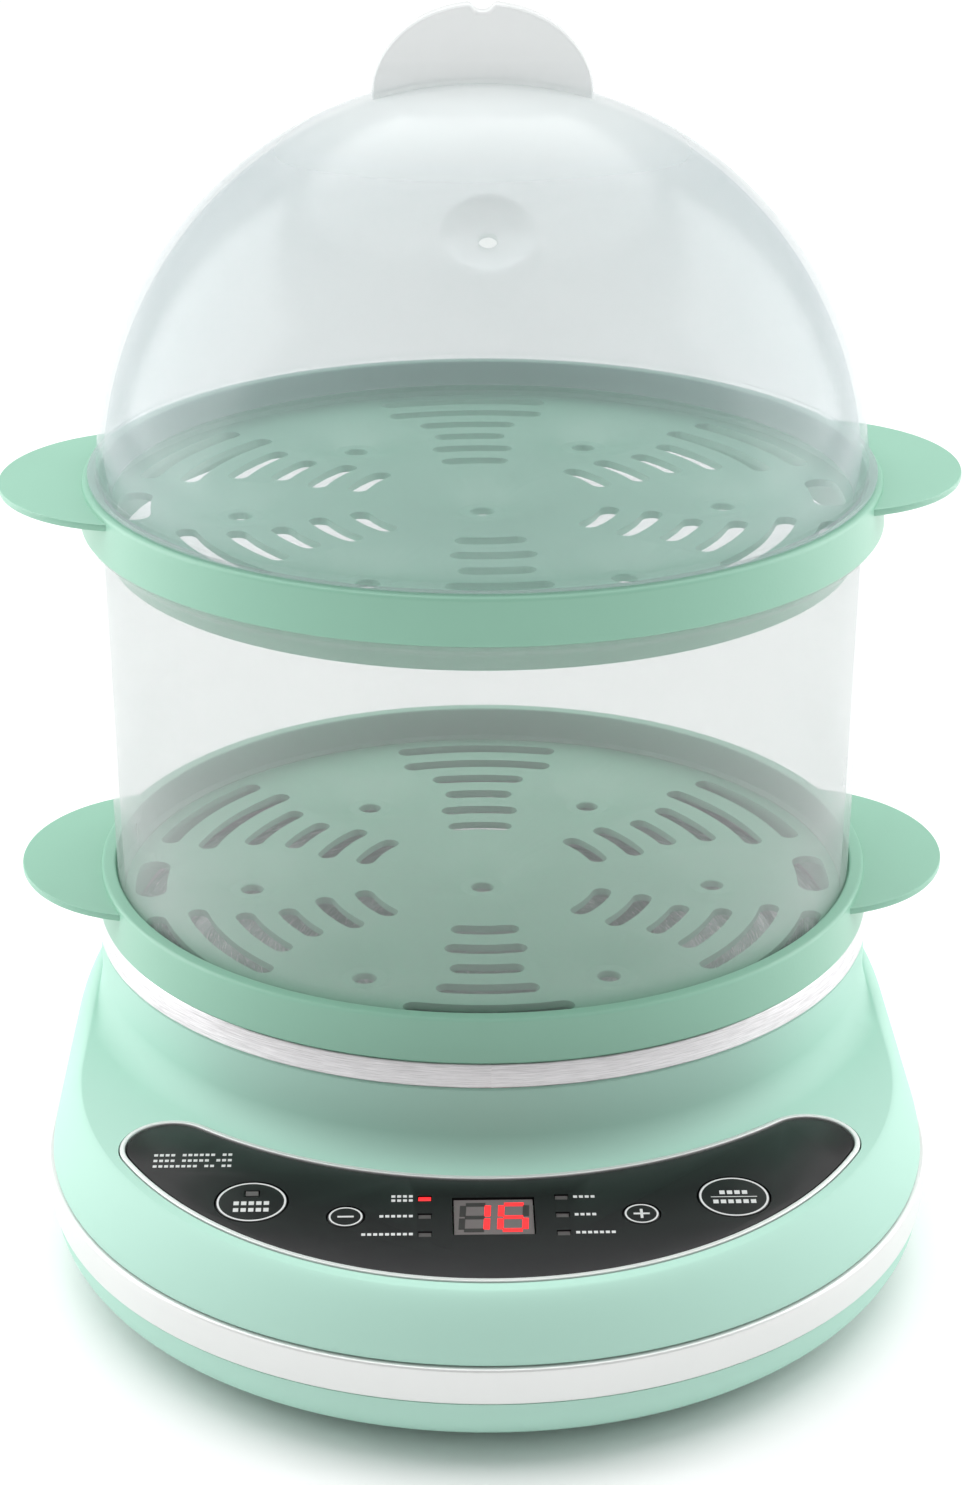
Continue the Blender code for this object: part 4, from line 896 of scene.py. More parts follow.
    def make_collar(self) -> None:
        """The brushed ring round the dish."""
        low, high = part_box("steel_collar")
        bottom, top = self.plan.tower_top + GAP, high.z / MM
        foot, brow, bore = self.collar_radii
        skirt = self.tower - WALL - GAP
        section = rounded([
            (foot, bottom, 0.25), (brow, top, 0.5), (bore, top, 0.4), (bore, low.z / MM, 0.1),
            (skirt, low.z / MM, 0.1), (skirt, bottom, 0.1),
        ])
        ring = Shape().turned(section, 256).made("brushed_collar_ring", self.plan.place)
        dressed(ring, COLLAR, "base", ["steel_collar"])

    def make_dish(self) -> None:
        """The spun steel dish that boils the water."""
        low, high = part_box("heating_plate")
        floor, level = low.z / MM, high.z / MM
        rim = (high.x - low.x) / 2 / MM
        section = rounded([
            (0, floor, 0), (68.5, floor, 2), (70, floor + 1.5, 1.5), (rim - 9, level - 1, 1.5),
            (rim, level - 1, 0), (rim, level, 0.4), (rim - 10, level, 1.5), (69, floor + 2.5, 1.5),
            (67.5, floor + 1, 2), (0, floor + 1, 0),
        ], closed=False)
        dish = Shape().turned(section).made("water_dish", self.plan.place)
        dressed(dish, DISH, "base", ["heating_plate"])

    def make_gland(self) -> None:
        """The rubber bush at the back."""
        low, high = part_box("cord_gland")
        outer = high.y / MM
        end = low.y / MM
        section = rounded([
            (2.8, outer, 0.4), (5.7, outer, 0.7), (5.7, outer - 0.75, 0.1), (5.0, outer - 0.75, 0),
            (5.0, end + 2.2, 0), (6.2, end + 2.2, 0.4), (6.2, end, 0.5), (2.8, end, 0.2),
        ])
        centre = Matrix.Translation((0, 0, (low.z + high.z) / 2)) @ Matrix.Rotation(-math.pi / 2, 4, "X")
        dressed(Shape().turned(section, 64).made("cord_bush", centre), RUBBER, "base", ["cord_gland"])

    def make_feet(self) -> None:
        """Four round feet, grown from one tree."""
        tree = GrowthGraph("foot_tree", {"Radius": "NodeSocketFloat", "Height": "NodeSocketFloat"})
        foot = None
        for share, low in ((1.0, 0.16), (0.94, 0.05), (0.86, 0.0)):
            radius, height = tree.given("Radius"), tree.given("Height")
            disc = tree.upright(64, radius * share, height * (1 - low), height * ((1 + low) / 2))
            foot = disc if foot is None else tree.fused(foot, disc)
        tree.stand(foot)
        nodes = [f"foot_{end}_{side}" for end in ("front", "rear") for side in ("left", "right")]
        points = [self.middle(node, 0.0) for node in nodes]
        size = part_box(nodes[0])
        sizes = {"Radius": (size[1].x - size[0].x) / 2, "Height": size[1].z - size[0].z}
        feet = tree.grow("rubber_feet", points, sizes, RUBBER, Matrix.Identity(4))
        dressed(feet, RUBBER, "base", nodes)

    def middle(self, node: str, height: float) -> Point:
        """A node's middle from above, at a height, in millimetres."""
        low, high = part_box(node)
        return ((low.x + high.x) / 2 / MM, (low.y + high.y) / 2 / MM, height)

    def make_screws(self) -> None:
        """The housing's screws, cross-headed, grown from one tree."""
        sizes = {"Head Radius": 3.1, "Head Height": 1.6, "Slot": 0.75}
        sizes |= {"Shank Radius": 1.45, "Shank Length": 13.0}
        tree = GrowthGraph("screw_tree", dict.fromkeys(sizes, "NodeSocketFloat"))
        head_high, shank_long = tree.given("Head Height"), tree.given("Shank Length")
        head = tree.upright(40, tree.given("Head Radius"), head_high, head_high * 0.5)
        rise = head_high + shank_long * 0.5 - self.screw_root * MM
        shank = tree.upright(24, tree.given("Shank Radius"), shank_long, rise)
        wide, slot = tree.given("Head Radius") * 1.2, tree.given("Slot")
        bars = []
        for across, along in ((wide, slot), (slot, wide)):
            size = tree.node("ShaderNodeCombineXYZ", {}, {"X": across, "Y": along, "Z": head_high})
            bars.append(tree.node("GeometryNodeMeshCube", {}, {"Size": size}))
        settings = {"operation": "DIFFERENCE", "solver": "EXACT"}
        inputs = {"Mesh 1": tree.fused(head, shank), "Mesh 2": tree.fused(*bars)}
        tree.stand(tree.node("GeometryNodeMeshBoolean", settings, inputs))
        nodes = [f"housing_screw_{number}" for number in range(1, 5)]
        points = [self.middle(node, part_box(node)[0].z / MM) for node in nodes]
        sizes = {name: size * MM for name, size in sizes.items()}
        screws = tree.grow("cross_head_screws", points, sizes, PLAIN_STEEL, Matrix.Identity(4))
        dressed(screws, PLAIN_STEEL, "base", nodes)


# ---------------------------------------------------------------- control panel


class Segment(Enum):
    """A seven-segment digit's bars: across, along and turn, in halves of the digit."""

    TOP = (0, 1, 0)
    UPPER_LEFT = (-1, 0.5, 1)
    UPPER_RIGHT = (1, 0.5, 1)
    MIDDLE = (0, 0, 0)
    LOWER_LEFT = (-1, -0.5, 1)
    LOWER_RIGHT = (1, -0.5, 1)
    BOTTOM = (0, -1, 0)


ONE = (Segment.UPPER_RIGHT, Segment.LOWER_RIGHT)
SIX = tuple(segment for segment in Segment if segment is not Segment.UPPER_RIGHT)


@dataclass
class ControlPanel:
    """Bezel, black face, keys, display and printed marks."""

    plan: BasePlan
    outline: PanelOutline
    bezel_width: float = 1.1
    bezel_proud: float = 0.3
    lens_proud: float = 0.1
    lens_thickness: float = 2.0
    big_key: tuple[float, float, float] = (48.0, -8.8, 7.15)
    small_key: tuple[float, float, float] = (29.2, -14.5, 3.6)
    window: tuple[float, float, float] = (16.3, 13.2, -14.7)
    light_across: float = 13.6
    light_rows: tuple[float, float, float] = (-8.2, -14.55, -20.9)
    light_size: Flat = (2.5, 1.6)
    letter: Flat = (0.78, 0.85)
    letter_pitch: float = 1.16

    def __post_init__(self) -> None:
        """Make the trees that print bars and rings."""
        self.bars = self.bar_tree()
        self.rings = self.ring_tree()

    def keys(self) -> dict[str, tuple[float, float, float]]:
        """Each key's place and radius."""
        (across, along, radius), (near, ahead, small) = self.big_key, self.small_key
        return {
            "delay_timer": (-across, along, radius),
            "minus": (-near, ahead, small),
            "plus": (near, ahead, small),
            "menu_cancel": (across, along, radius),
        }

    def bar_tree(self) -> GrowthGraph:
        """A tree that lays a flat bar on each point, of its own size and turn."""
        tree = GrowthGraph("bar_tree", {"Thickness": "NodeSocketFloat"})
        size = tree.node("ShaderNodeCombineXYZ", {}, {"X": MM, "Y": MM, "Z": tree.given("Thickness")})
        unit = tree.node("GeometryNodeMeshCube", {}, {"Size": size})
        turn = tree.node("ShaderNodeCombineXYZ", {}, {"Z": tree.attribute("turn", "FLOAT")})
        inputs = {
            "Points": tree.given("Geometry"), "Instance": unit,
            "Rotation": turn, "Scale": tree.attribute("span", "FLOAT_VECTOR"),
        }
        tree.close(tree.node("GeometryNodeInstanceOnPoints", {}, inputs))
        return tree

    def ring_tree(self) -> GrowthGraph:
        """A tree that lays a flat printed ring on each point."""
        kinds = dict.fromkeys(("Radius", "Line", "Thickness"), "NodeSocketFloat")
        tree = GrowthGraph("ring_tree", kinds)
        inputs = {"Resolution": 96, "Radius": tree.given("Radius")}
        path = tree.node("GeometryNodeCurvePrimitiveCircle", {"mode": "RADIUS"}, inputs)
        inputs = {"Width": tree.given("Line"), "Height": tree.given("Thickness")}
        section = tree.node("GeometryNodeCurvePrimitiveQuadrilateral", {"mode": "RECTANGLE"}, inputs)
        tree.stand(tree.node("GeometryNodeCurveToMesh", {}, {"Curve": path, "Profile Curve": section}))
        return tree

    def print_bars(
        self, name: str, bars: Sequence[tuple[float, float, float, float, float]],
        finish: Finish, level: float, body: str,
    ) -> None:
        """Print flat bars on the panel's plane.

        Args:
            name: the piece's name.
            bars: across, along, length, width and turn of each.
            finish: the ink or the light.
            level: height over the deck's plane.
            body: what the bars move with.
        """
        points = [(across, along, level) for across, along, *_ in bars]
        marks = {
            "span": [(length, width, 1.0) for _, _, length, width, _ in bars],
            "turn": [float(turn) for *_, turn in bars],
        }
        sizes = {"Thickness": 0.03 * MM}
        piece = self.bars.grow(name, points, sizes, finish, self.plan.panel, marks)
        dressed(piece, finish, body)

    def build(self) -> None:
        """Make every piece of the panel."""
        self.make_bezel()
        self.make_face()
        self.make_keys()
        self.make_display()
        self.print_labels()

    def make_bezel(self) -> None:
        """The thin bright frame."""
        seat = self.lens_proud - self.lens_thickness - GAP
        far = GAP + self.bezel_width
        section = rounded([
            (GAP, seat - 1.4, 0), (GAP, self.bezel_proud, 0.25), (far, self.bezel_proud, 0.35),
            (far, seat, 0), (far + 1.6, seat, 0), (far + 1.6, seat - 1.4, 0),
        ])
        rings = [[(x, y, z) for x, y in self.outline.points(inset)] for inset, z in section]
        frame_piece = Shape().loft(rings, closed=True).made("bright_bezel", self.plan.panel)
        dressed(frame_piece, TRIM, "base", ["panel_bezel"])

    def make_face(self) -> None:
        """The gloss face with openings for keys, display and lights."""
        low, high, inset = self.lens_proud - self.lens_thickness, self.lens_proud, 1.1 + 2 * GAP
        rings = [
            [(x, y, z) for x, y in self.outline.points(inset + back)]
            for back, z in ((0, low), (0, high - 0.25), (0.08, high - 0.08), (0.25, high))
        ]
        face = Shape().loft(rings).made("black_face", self.plan.panel)
        cuts = Shape()
        for across, along, radius in self.keys().values():
            profile = [(0, low - 1), (radius + GAP, low - 1), (radius + GAP, 1), (0, 1)]
            cuts.turned(profile, 96, (across, along))
        cuts.block((self.window[0], self.window[1], 4), (0, self.window[2]), low - 1)
        for side in (-1, 1):
            for row in self.light_rows:
                size = (self.light_size[0] + GAP, self.light_size[1] + GAP, 4)
                cuts.block(size, (side * self.light_across, row), low - 1)
        combine(face, cuts.made("face_openings", self.plan.panel), Join.CUT)
        dressed(face, BLACK_GLASS, "base", ["panel_lens"])

    def make_keys(self) -> None:
        """Four keys, each with its printed ring and mark."""
        for name, (across, along, radius) in self.keys().items():
            stem = radius * 0.45
            corners = [
                (0, -3.4, 0), (stem, -3.4, 0.1), (stem, -1.8, 0), (radius, -1.8, 0.2),
                (radius, 0, 0.3), (0, 0, 0),
            ]
            place = self.plan.panel @ Matrix.Translation((across * MM, along * MM, self.lens_proud * MM))
            key = Shape().turned(rounded(corners, closed=False), 96).made(f"{name}_key", place)
            if name == "delay_timer":
                pocket = Shape().block((3.1, 2.2, 2), (0, 3.0), -1.2).made("light_pocket", place)
                combine(key, pocket, Join.CUT)
            body = f"{name}_button"
            dressed(key, BLACK_GLASS, body, [f"{name}_button"])
            line = 0.42 if radius > 5 else 0.36
            sizes = {"Radius": (radius - 0.45) * MM, "Line": line * MM, "Thickness": 0.03 * MM}
            spot = [(across, along, self.lens_proud + 0.02)]
            ring = self.rings.grow(f"{name}_ring", spot, sizes, INK, self.plan.panel)
            dressed(ring, INK, body)
            self.print_key_mark(name, across, along, body)

    def print_key_mark(self, name: str, across: float, along: float, body: str) -> None:
        """A plain mark on a key: a minus, a plus, or two short rows."""
        level = self.lens_proud + 0.02
        if name in ("minus", "plus"):
            bars = [(across, along, 3.2, 0.55, 0.0)]
            if name == "plus":
                bars.append((across, along, 3.2, 0.55, math.pi / 2))
        else:
            timer = name == "delay_timer"
            rows = ((-0.5, 5), (-2.9, 5)) if timer else ((1.6, 4), (-1.7, 6))
            bars = [] if timer else [(across, along, 9.2, 0.22, 0.0)]
            for rise, count in rows:
                shifts = [(index - (count - 1) / 2) * 1.5 for index in range(count)]
                bars += [(across + shift, along + rise, 1.05, 1.3, 0.0) for shift in shifts]
        self.print_bars(f"{name}_mark", bars, INK, level, body)

    def make_display(self) -> None:
        """Two digits behind the window, and the light beside the first menu row."""
        middle = self.window[2]
        digits = ((-3.75, ONE), (3.85, SIX))
        lit: list[tuple[float, float, float, float, float]] = []
        dim: list[tuple[float, float, float, float, float]] = []
        for across, shown in digits:
            for segment in Segment:
                u, v, upright = segment.value
                x, y = across + u * 2.45 + v * 0.25, middle + v * 4.55
                bar = (x, y, 3.9, 1.25, (math.pi / 2 - 0.05) * upright)
                (lit if segment in shown else dim).append(bar)
        face = -0.3 + 0.03
        self.print_bars("lit_digits", lit, RED, face, "base")
        self.print_bars("unlit_digits", dim, DIM_SEGMENT, face, "base")
        bar = (-self.light_across, self.light_rows[0], *self.light_size, 0.0)
        self.print_bars("lit_menu_light", [bar], RED, self.lens_proud - GAP + 0.02, "base")

    def print_labels(self) -> None:
        """Short plain rows beside the lights, in place of words."""
        bars = []
        lines = (
            (-1, 0, 0.75, 4), (-1, 0, -0.75, 4), (-1, 1, 0.0, 6), (-1, 2, 0.0, 9),
            (1, 0, 0.0, 4), (1, 1, 0.0, 4), (1, 2, 0.0, 7),
        )
        for side, row, lift, letters in lines:
            for letter in range(letters):
                shift = self.light_across + 2.75 + letter * self.letter_pitch
                bars.append((side * shift, self.light_rows[row] + lift, *self.letter, 0.0))
        for line, gaps in enumerate(((4, 11), (4, 10), (8, 11))):
            for letter in range(14):
                if letter not in gaps:
                    spot = (-68.2 + letter * self.letter_pitch, 8.8 - line * 2.1)
                    bars.append((*spot, *self.letter, 0.0))
        self.print_bars("panel_marks", bars, INK, self.lens_proud + 0.02, "base")


# ---------------------------------------------------------------- trays, chamber and lid


@dataclass
class Tray:
    """An egg tray: rim, ears, seats and steam slots."""

    node: str
    turn: float
    radius: float = 85.1
    flare: float = 0.8
    skirt: float = 9.7
    rim_width: float = 3.1
    floor_drop: float = 8.0
    sheet: float = 1.6
    plug_radius: float = 80.8
    plug_drop: float = 16.7
    plug_wall: float = 1.8
    corner: float = 0.9
    ear: tuple[float, float, float] = (103.0, 72.0, 33.7)
    ear_drop: float = 1.2
    ear_thickness: float = 1.6
    seat: tuple[float, float, float, float] = (52.0, 15.0, 2.7, 2.5)
    slot_rings: Flat = (28.0, 75.0)
    slot_halves: tuple[float, ...] = (7.5, 9.0, 8.0, 11.0, 18.0, 19.5)
    slot_width: float = 4.4
    side_slot: tuple[float, float, float] = (74.5, 9.5, 7.0)

    def section(self) -> list[Flat]:
        """The turned body's section, from the floor's middle and back under it."""
        bore, floor, edge = self.radius - self.rim_width, -self.floor_drop, self.radius + self.flare
        under, plug = floor - self.sheet, self.plug_radius
        return rounded([
            (0, floor, 0), (bore - self.corner, floor, 0.3), (bore, floor + self.corner, 0.3),
            (bore, 0, 0.6), (self.radius, 0, 1.0), (edge, -self.skirt, 0.4), (plug, -self.skirt, 0.3),
            (plug - 0.5, -self.plug_drop, 0.6), (plug - 0.5 - self.plug_wall, -self.plug_drop, 0.4),
            (plug - self.plug_wall, under, 0.6), (0, under, 0),
        ], closed=False)

    def ear_outline(self, side: int, inset: float) -> list[Flat]:
        """A half-oval ear with soft roots."""
        tip, centre, half = self.ear
        root = self.radius - self.rim_width / 2
        oval = []
        for step in range(-45, 46):
            a = math.pi / 2 * step / 45
            x = centre + (tip - centre - inset) * math.cos(a)
            y = (half - inset) * math.sin(a)
            if math.hypot(x, y) > root:
                oval.append((side * x, side * y))
        first, last = (math.atan2(x, -y) for x, y in (oval[0], oval[-1]))
        return oval + arc((0, 0), root, last, first, 0.05)[1:-1]

    def seat_places(self) -> list[Flat]:
        """One seat in the middle and six round it."""
        turns = [math.pi / 6 + math.pi / 3 * k for k in range(6)]
        ring = self.seat[0]
        return [(0.0, 0.0), *((ring * math.sin(a), -ring * math.cos(a)) for a in turns)]

    def slot_outline(self, radius: float, half_length: float, width: float, middle: float) -> list[Flat]:
        """A curved slot with round ends."""
        half, end = half_length / radius - width / 2 / radius, width / 2
        outline = arc((0, 0), radius + end, middle - half, middle + half, 0.05)
        for turn, sign in ((middle + half, 1), (middle - half, -1)):
            centre = (radius * math.sin(turn), -radius * math.cos(turn))
            cap = arc(centre, end, turn, turn + math.pi, 0.35) if sign > 0 else arc(
                centre, end, turn + math.pi, turn + FULL_TURN, 0.35
            )
            outline += cap[1:-1]
            if sign > 0:
                outline += arc((0, 0), radius - end, middle + half, middle - half, 0.05)
        return outline

    def build(self) -> None:
        """Make the tray."""
        low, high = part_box(self.node)
        axis_y = sum(corner.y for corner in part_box("steel_collar")) / 2
        place = Matrix.Translation((0, axis_y, high.z)) @ Matrix.Rotation(self.turn, 4, "Z")
        tray = Shape().turned(self.section()).made(f"{self.node}_moulding", place)
        self.add_ears(tray, place)
        self.sink_seats(tray, place)
        self.cut_slots(tray, place)
        weigh(tray)
        dressed(tray, MINT_TRAY, self.node, [self.node])

    def add_ears(self, tray: bpy.types.Object, place: Matrix) -> None:
        """Grow the two ears out of the rim."""
        low, top = -self.ear_drop - self.ear_thickness, -self.ear_drop
        levels = [(0.5, low), (0.15, low + 0.12), (0.0, low + 0.45)]
        levels += [(0.0, top - 0.45), (0.15, top - 0.12), (0.5, top)]
        for side in (-1, 1):
            outlines = [(self.ear_outline(side, inset), z) for inset, z in levels]
            count = min(len(outline) for outline, _ in outlines)
            rings = [[(x, y, z) for x, y in self.resampled(outline, count)] for outline, z in outlines]
            combine(tray, Shape().loft(rings).made("ear", place), Join.ADD)

    def resampled(self, outline: list[Flat], count: int) -> list[Flat]:
        """As many points of an outline as asked, spread evenly along its list."""
        last = len(outline)
        return [outline[int(index * last / count)] for index in range(count)]

    def sink_seats(self, tray: bpy.types.Object, place: Matrix) -> None:
        """Form the seven seats: a cup below and a hollow above."""
        floor, (_, radius, depth, hole) = -self.floor_drop, self.seat
        bottom = floor - depth - self.sheet
        cups, hollows = Shape(), Shape()
        for spot in self.seat_places():
            cup = radius + self.sheet
            section = [(0, bottom, 0), (radius / 3 + 1, bottom, 1.5), (cup, floor - self.sheet + 0.2, 0)]
            section += [(cup, floor - self.sheet / 2, 0), (0, floor - self.sheet / 2, 0)]
            cups.turned(rounded(section, closed=False), 56, spot)
            deep = floor - depth
            section = [(0, bottom - 1, 0), (hole, bottom - 1, 0), (hole, deep, 0.4), (radius / 3, deep, 1.5)]
            section += [(radius + 0.6, floor + 0.1, 0.6), (radius + 1.0, floor + 1, 0), (0, floor + 1, 0)]
            hollows.turned(rounded(section, closed=False), 56, spot)
        combine(tray, cups.made("seat_cups", place), Join.ADD)
        combine(tray, hollows.made("seat_hollows", place), Join.CUT)

    def cut_slots(self, tray: bpy.types.Object, place: Matrix) -> None:
        """Cut the steam slots, ring by ring."""
        floor, cuts = -self.floor_drop, Shape()
        first, last = self.slot_rings
        pitch = (last - first) / (len(self.slot_halves) - 1)
        rings = [(first + pitch * k, half) for k, half in enumerate(self.slot_halves)]
        slots = [(*ring, self.slot_width, k * math.pi / 3) for k in range(6) for ring in rings]
        slots += [(*self.side_slot, side * math.pi / 2) for side in (-1, 1)]
        for slot in slots:
            cuts.prism(self.slot_outline(*slot), floor - 2 * self.sheet, floor + 1)
        combine(tray, cuts.made("steam_slots", place), Join.CUT)


@dataclass
class Chamber:
    """The clear wall between the trays."""

    top_radius: float = 82.7
    draft: float = 1.15
    wall: float = 1.4
    lip: float = 2.0
    foot: float = 0.9

    def build(self) -> None:
        """Turn the chamber."""
        low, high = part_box("steam_chamber")
        tall = (high.z - low.z) / MM
        bottom, lip = self.top_radius - self.draft, self.top_radius + self.lip
        section = rounded([
            (bottom - self.foot, 0, 0.2), (bottom, self.foot, 0.6), (self.top_radius, tall - 2.6, 1.2),
            (lip, tall - 1.0, 0.5), (lip, tall, 0.3), (self.top_radius - self.wall, tall, 0.4),
            (bottom - self.wall, 0, 0.3),
        ])
        axis_y = (low.y + high.y) / 2
        place = Matrix.Translation((0, axis_y, low.z))
        wall = Shape().turned(section).made("chamber_wall", place)
        dressed(wall, CHAMBER, "steam_chamber", ["steam_chamber"])


@dataclass
class Lid:
    """The clear dome with its fin, dimple and vent."""

    flange: float = 84.0
    radius: float = 82.45
    rise: float = 81.2
    height: float = 85.0
    shoulder: float = 4.5
    wall: float = 1.6
    plug: float = 5.0
    plug_taper: float = 1.1
    bore: float = 81.55
    fin_half: float = 22.7
    fin_rise: float = 16.1
    fin_thickness: float = 4.4
    notch: Flat = (5.0, 1.7)
    dimple: tuple[float, float, float] = (10.0, 2.6, math.radians(38.2))
    vent: float = 1.9

    def dome(self, radius: float, crown: float, steps: int = 44) -> list[Flat]:
        """The dome's section from the shoulder to the crown."""
        base = self.rise - self.height
        tall = crown - base
        first = math.asin((self.shoulder - base) / tall)
        angles = [first + (math.pi / 2 - first) * step / steps for step in range(steps)]
        return [*((radius * math.cos(a), base + tall * math.sin(a)) for a in angles), (0.0, crown)]

    def build(self) -> None:
        """Make the lid as one moulding."""
        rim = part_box("upper_tray")[1].z
        axis_y = sum(corner.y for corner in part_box("steel_collar")) / 2
        place = Matrix.Translation((0, axis_y, rim))
        skin = self.dome(self.radius, self.rise)
        section = rounded([
            (0, -self.plug, 0), (self.bore - self.plug_taper, -self.plug, 0.5), (self.bore, GAP, 0.2),
            (self.flange, GAP, 0.35), (self.flange, GAP + 1.0, 0.4), (skin[0][0] + 0.1, GAP + 1.6, 0.6),
            (*skin[0], 0),
        ], closed=False)
        outside = [*section[:-1], *skin]
        lid = Shape().turned(outside).made("dome", place)
        combine(lid, self.fin(place), Join.ADD)
        cavity = self.cavity(place)
        combine(lid, self.ball("dimple", 0.0, place), Join.CUT)
        combine(cavity, self.ball("dimple_wall", self.wall, place), Join.CUT)
        combine(lid, cavity, Join.CUT)
        base = self.rise - self.height
        drill = Shape().turned([(0, 60), (self.vent, 60), (self.vent, 95), (0, 95)], 40)
        lean = Matrix.Translation((0, 0, base * MM)) @ Matrix.Rotation(self.dimple[2], 4, "X")
        combine(lid, drill.made("vent_drill", place @ lean), Join.CUT)
        weigh(lid)
        dressed(lid, LID, "lid", ["lid"])

    def fin(self, place: Matrix) -> bpy.types.Object:
        """The upright fin with its notch, edges eased."""
        foot, top = self.rise - 12, self.rise + self.fin_rise
        width, depth = self.notch
        outline = [(-self.fin_half, foot)]
        for step in range(61):
            a = math.pi * step / 60
            x = -self.fin_half * math.cos(a)
            z = top - (top - self.rise + 2) * (1 - math.sin(a))
            if abs(x) > width / 2:
                outline.append((x, z))
            elif step == 30:
                outline += [(-width / 2, top - 0.05), (-width / 4, top - depth)]
                outline += [(width / 4, top - depth), (width / 2, top - 0.05)]
        outline.append((self.fin_half, foot))
        half = self.fin_thickness / 2
        fin = Shape().loft([[(x, y, z) for x, z in outline] for y in (-half, half)]).made("fin", place)
        ease(fin, 0.9)
        return fin

    def ball(self, name: str, extra: float, place: Matrix) -> bpy.types.Object:
        """The ball that presses the dimple, or the one that leaves its wall."""
        width, depth, lean = self.dimple
        radius = (width**2 + depth**2) / (2 * depth)
        reach = math.hypot(math.sin(lean) / self.radius, math.cos(lean) / self.height) ** -1
        far = reach + radius - depth
        size = radius + extra
        profile = [(size * math.sin(a), -size * math.cos(a)) for a in (math.pi * k / 64 for k in range(65))]
        profile[0], profile[-1] = (0, -size), (0, size)
        base = self.rise - self.height
        spot = Vector((0, -far * math.sin(lean), base + far * math.cos(lean))) * MM
        turn = Matrix.Rotation(lean, 4, "X")
        return Shape().turned(profile, 96).made(name, place @ Matrix.Translation(spot) @ turn)

    def cavity(self, place: Matrix) -> bpy.types.Object:
        """The hollow inside the dome."""
        foot = self.bore - self.plug_taper - self.wall
        section = [(0, -self.plug - 1), (foot, -self.plug - 1)]
        section += [(self.bore - self.wall, GAP), *self.dome(self.radius - self.wall, self.rise - self.wall)]
        return Shape().turned(section).made("hollow", place)


# ---------------------------------------------------------------- inner parts


def dress_inner_parts() -> None:
    """Give the nodes that keep their solids their own finishes."""
    finishes = {
        SILICONE: ("plate_gasket",),
        SHEATH: ("heating_element",),
        PLAIN_STEEL: ("heat_shield", "thermal_fuse", "shield_screw_", "board_screw_"),
        BOARD: ("power_board", "control_board"),
        AMBER: ("transformer",),
        NAVY: ("filter_capacitor", "relay"),
        GREEN: ("terminal_block",),
        SLEEVE: ("heater_lead_",),
        RIBBON: ("display_ribbon",),
        WINDOW: ("display_module",),
        DIM_BAR: ("delay_indicator_light", "left_light_bars", "right_light_bars"),
        BLACK: (
            "thermostat", "buzzer", "delay_timer_switch", "minus_switch", "plus_switch",
            "menu_cancel_switch",
        ),
    }
    for finish, names in finishes.items():
        for name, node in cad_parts.items():
            if name.startswith(names) and not node.hide_render:
                node.data.materials.clear()
                node.data.materials.append(finish.material())


# ---------------------------------------------------------------- studio


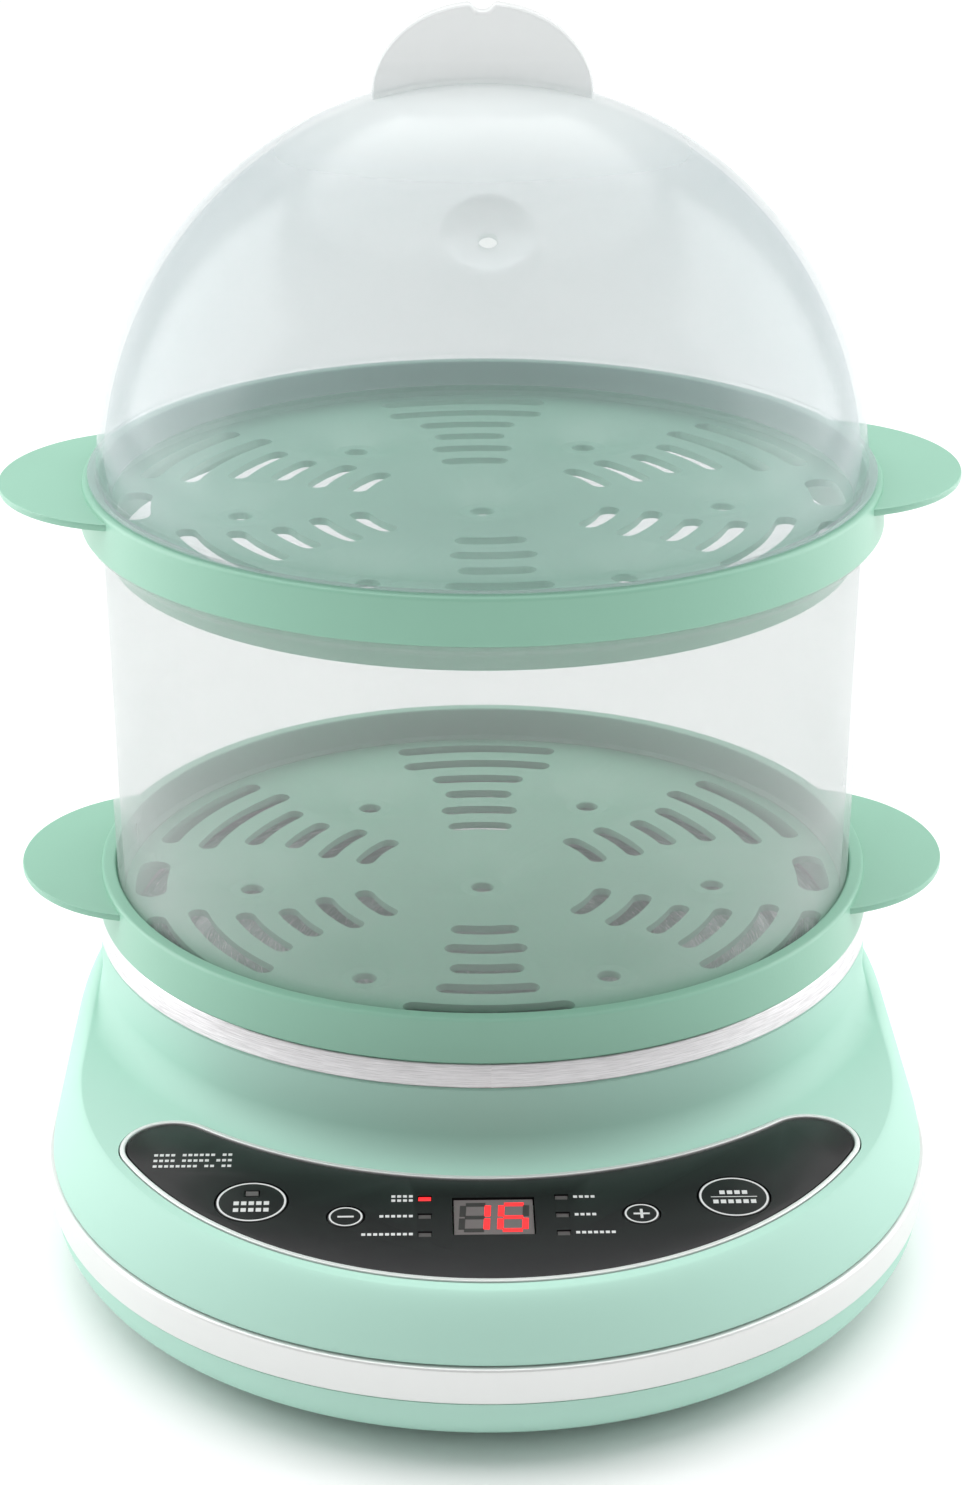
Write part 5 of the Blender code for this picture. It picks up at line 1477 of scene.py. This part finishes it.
@dataclass
class Studio:
    """Floor, light and camera."""

    air: float = 0.42
    floor_reach: float = 30.0
    lit_point: Point = (0.0, 0.02, 0.12)
    box_place: Point = (0.95, 0.30, 0.50)
    box_size: float = 0.9
    left_power: float = 8.0
    right_power: float = 7.0
    sun_strength: float = 2.3
    sun_width: float = math.radians(70)
    sun_tilt: float = math.radians(-22)
    orbit: float = math.radians(-1.2)
    axis_y: float = 0.0225
    distance: float = 0.6328
    height: float = 0.3549
    pitch: float = math.radians(67.565)
    lens: float = 74.79
    sensor_width: float = 36.0

    def build(self) -> None:
        """Set up the studio."""
        self.lay_floor()
        self.light()
        self.aim()

    def put(self, name: str, data: Any, place: Any = (0, 0, 0), turn: Any = (0, 0, 0)) -> Any:
        """Stand something in the studio."""
        item = bpy.data.objects.new(name, data)
        item.location, item.rotation_euler = place, turn
        bpy.context.scene.collection.objects.link(item)
        return item

    def lay_floor(self) -> None:
        """A plain pale floor."""
        mesh = bpy.data.meshes.new("floor")
        reach = self.floor_reach
        corners = [(-reach, -reach, 0), (reach, -reach, 0), (reach, reach, 0), (-reach, reach, 0)]
        mesh.from_pydata(corners, [], [(0, 1, 2, 3)])
        floor = self.put("floor", mesh)
        paper = Finish("pale_floor", "", (0.93, 0.93, 0.93), 0.9, mottle=0.004, depth=0.0)
        mesh.materials.append(paper.material())

    def soft_box(self, name: str, side: int, power: float) -> None:
        """A square soft box at one side, turned to the object."""
        box = bpy.data.lights.new(name, "AREA")
        box.shape = "RECTANGLE"
        box.size = box.size_y = self.box_size
        box.energy = power
        across, back, up = self.box_place
        place = Vector((side * across, back, up))
        self.put(name, box, place, (Vector(self.lit_point) - place).to_track_quat("-Z", "Y").to_euler())

    def light(self) -> None:
        """Soft boxes behind at both sides, a wide sun overhead and an even white air."""
        self.soft_box("left_box", -1, self.left_power)
        self.soft_box("right_box", 1, self.right_power)
        sun = bpy.data.lights.new("overhead", "SUN")
        sun.energy, sun.angle = self.sun_strength, self.sun_width
        self.put("overhead", sun, turn=(self.sun_tilt, 0.0, 0.0))
        world = bpy.data.worlds.new("studio_air")
        world.use_nodes = True
        air = world.node_tree.nodes["Background"]
        air.inputs["Color"].default_value = (1.0, 1.0, 1.0, 1.0)
        air.inputs["Strength"].default_value = self.air
        bpy.context.scene.world = world
        bpy.context.scene.view_settings.view_transform = "Standard"

    def aim(self) -> None:
        """The camera, above and in front, a little round the axis."""
        data = bpy.data.cameras.new("camera")
        data.lens, data.sensor_width = self.lens, self.sensor_width
        across, ahead = math.sin(self.orbit), math.cos(self.orbit)
        place = (self.distance * across, self.axis_y - self.distance * ahead, self.height)
        bpy.context.scene.camera = self.put("camera", data, place, (self.pitch, 0.0, self.orbit))


def main() -> None:
    """Build the object, then the studio."""
    logging.basicConfig(level=logging.INFO, format="%(name)s: %(message)s")
    plan, outline = BasePlan(), PanelOutline()
    Base(plan, outline).build()
    ControlPanel(plan, outline).build()
    Tray("lower_tray", 0.0).build()
    Chamber().build()
    Tray("upper_tray", math.radians(2.4)).build()
    Lid().build()
    dress_inner_parts()
    Studio().build()


if __name__ == "__main__":
    main()
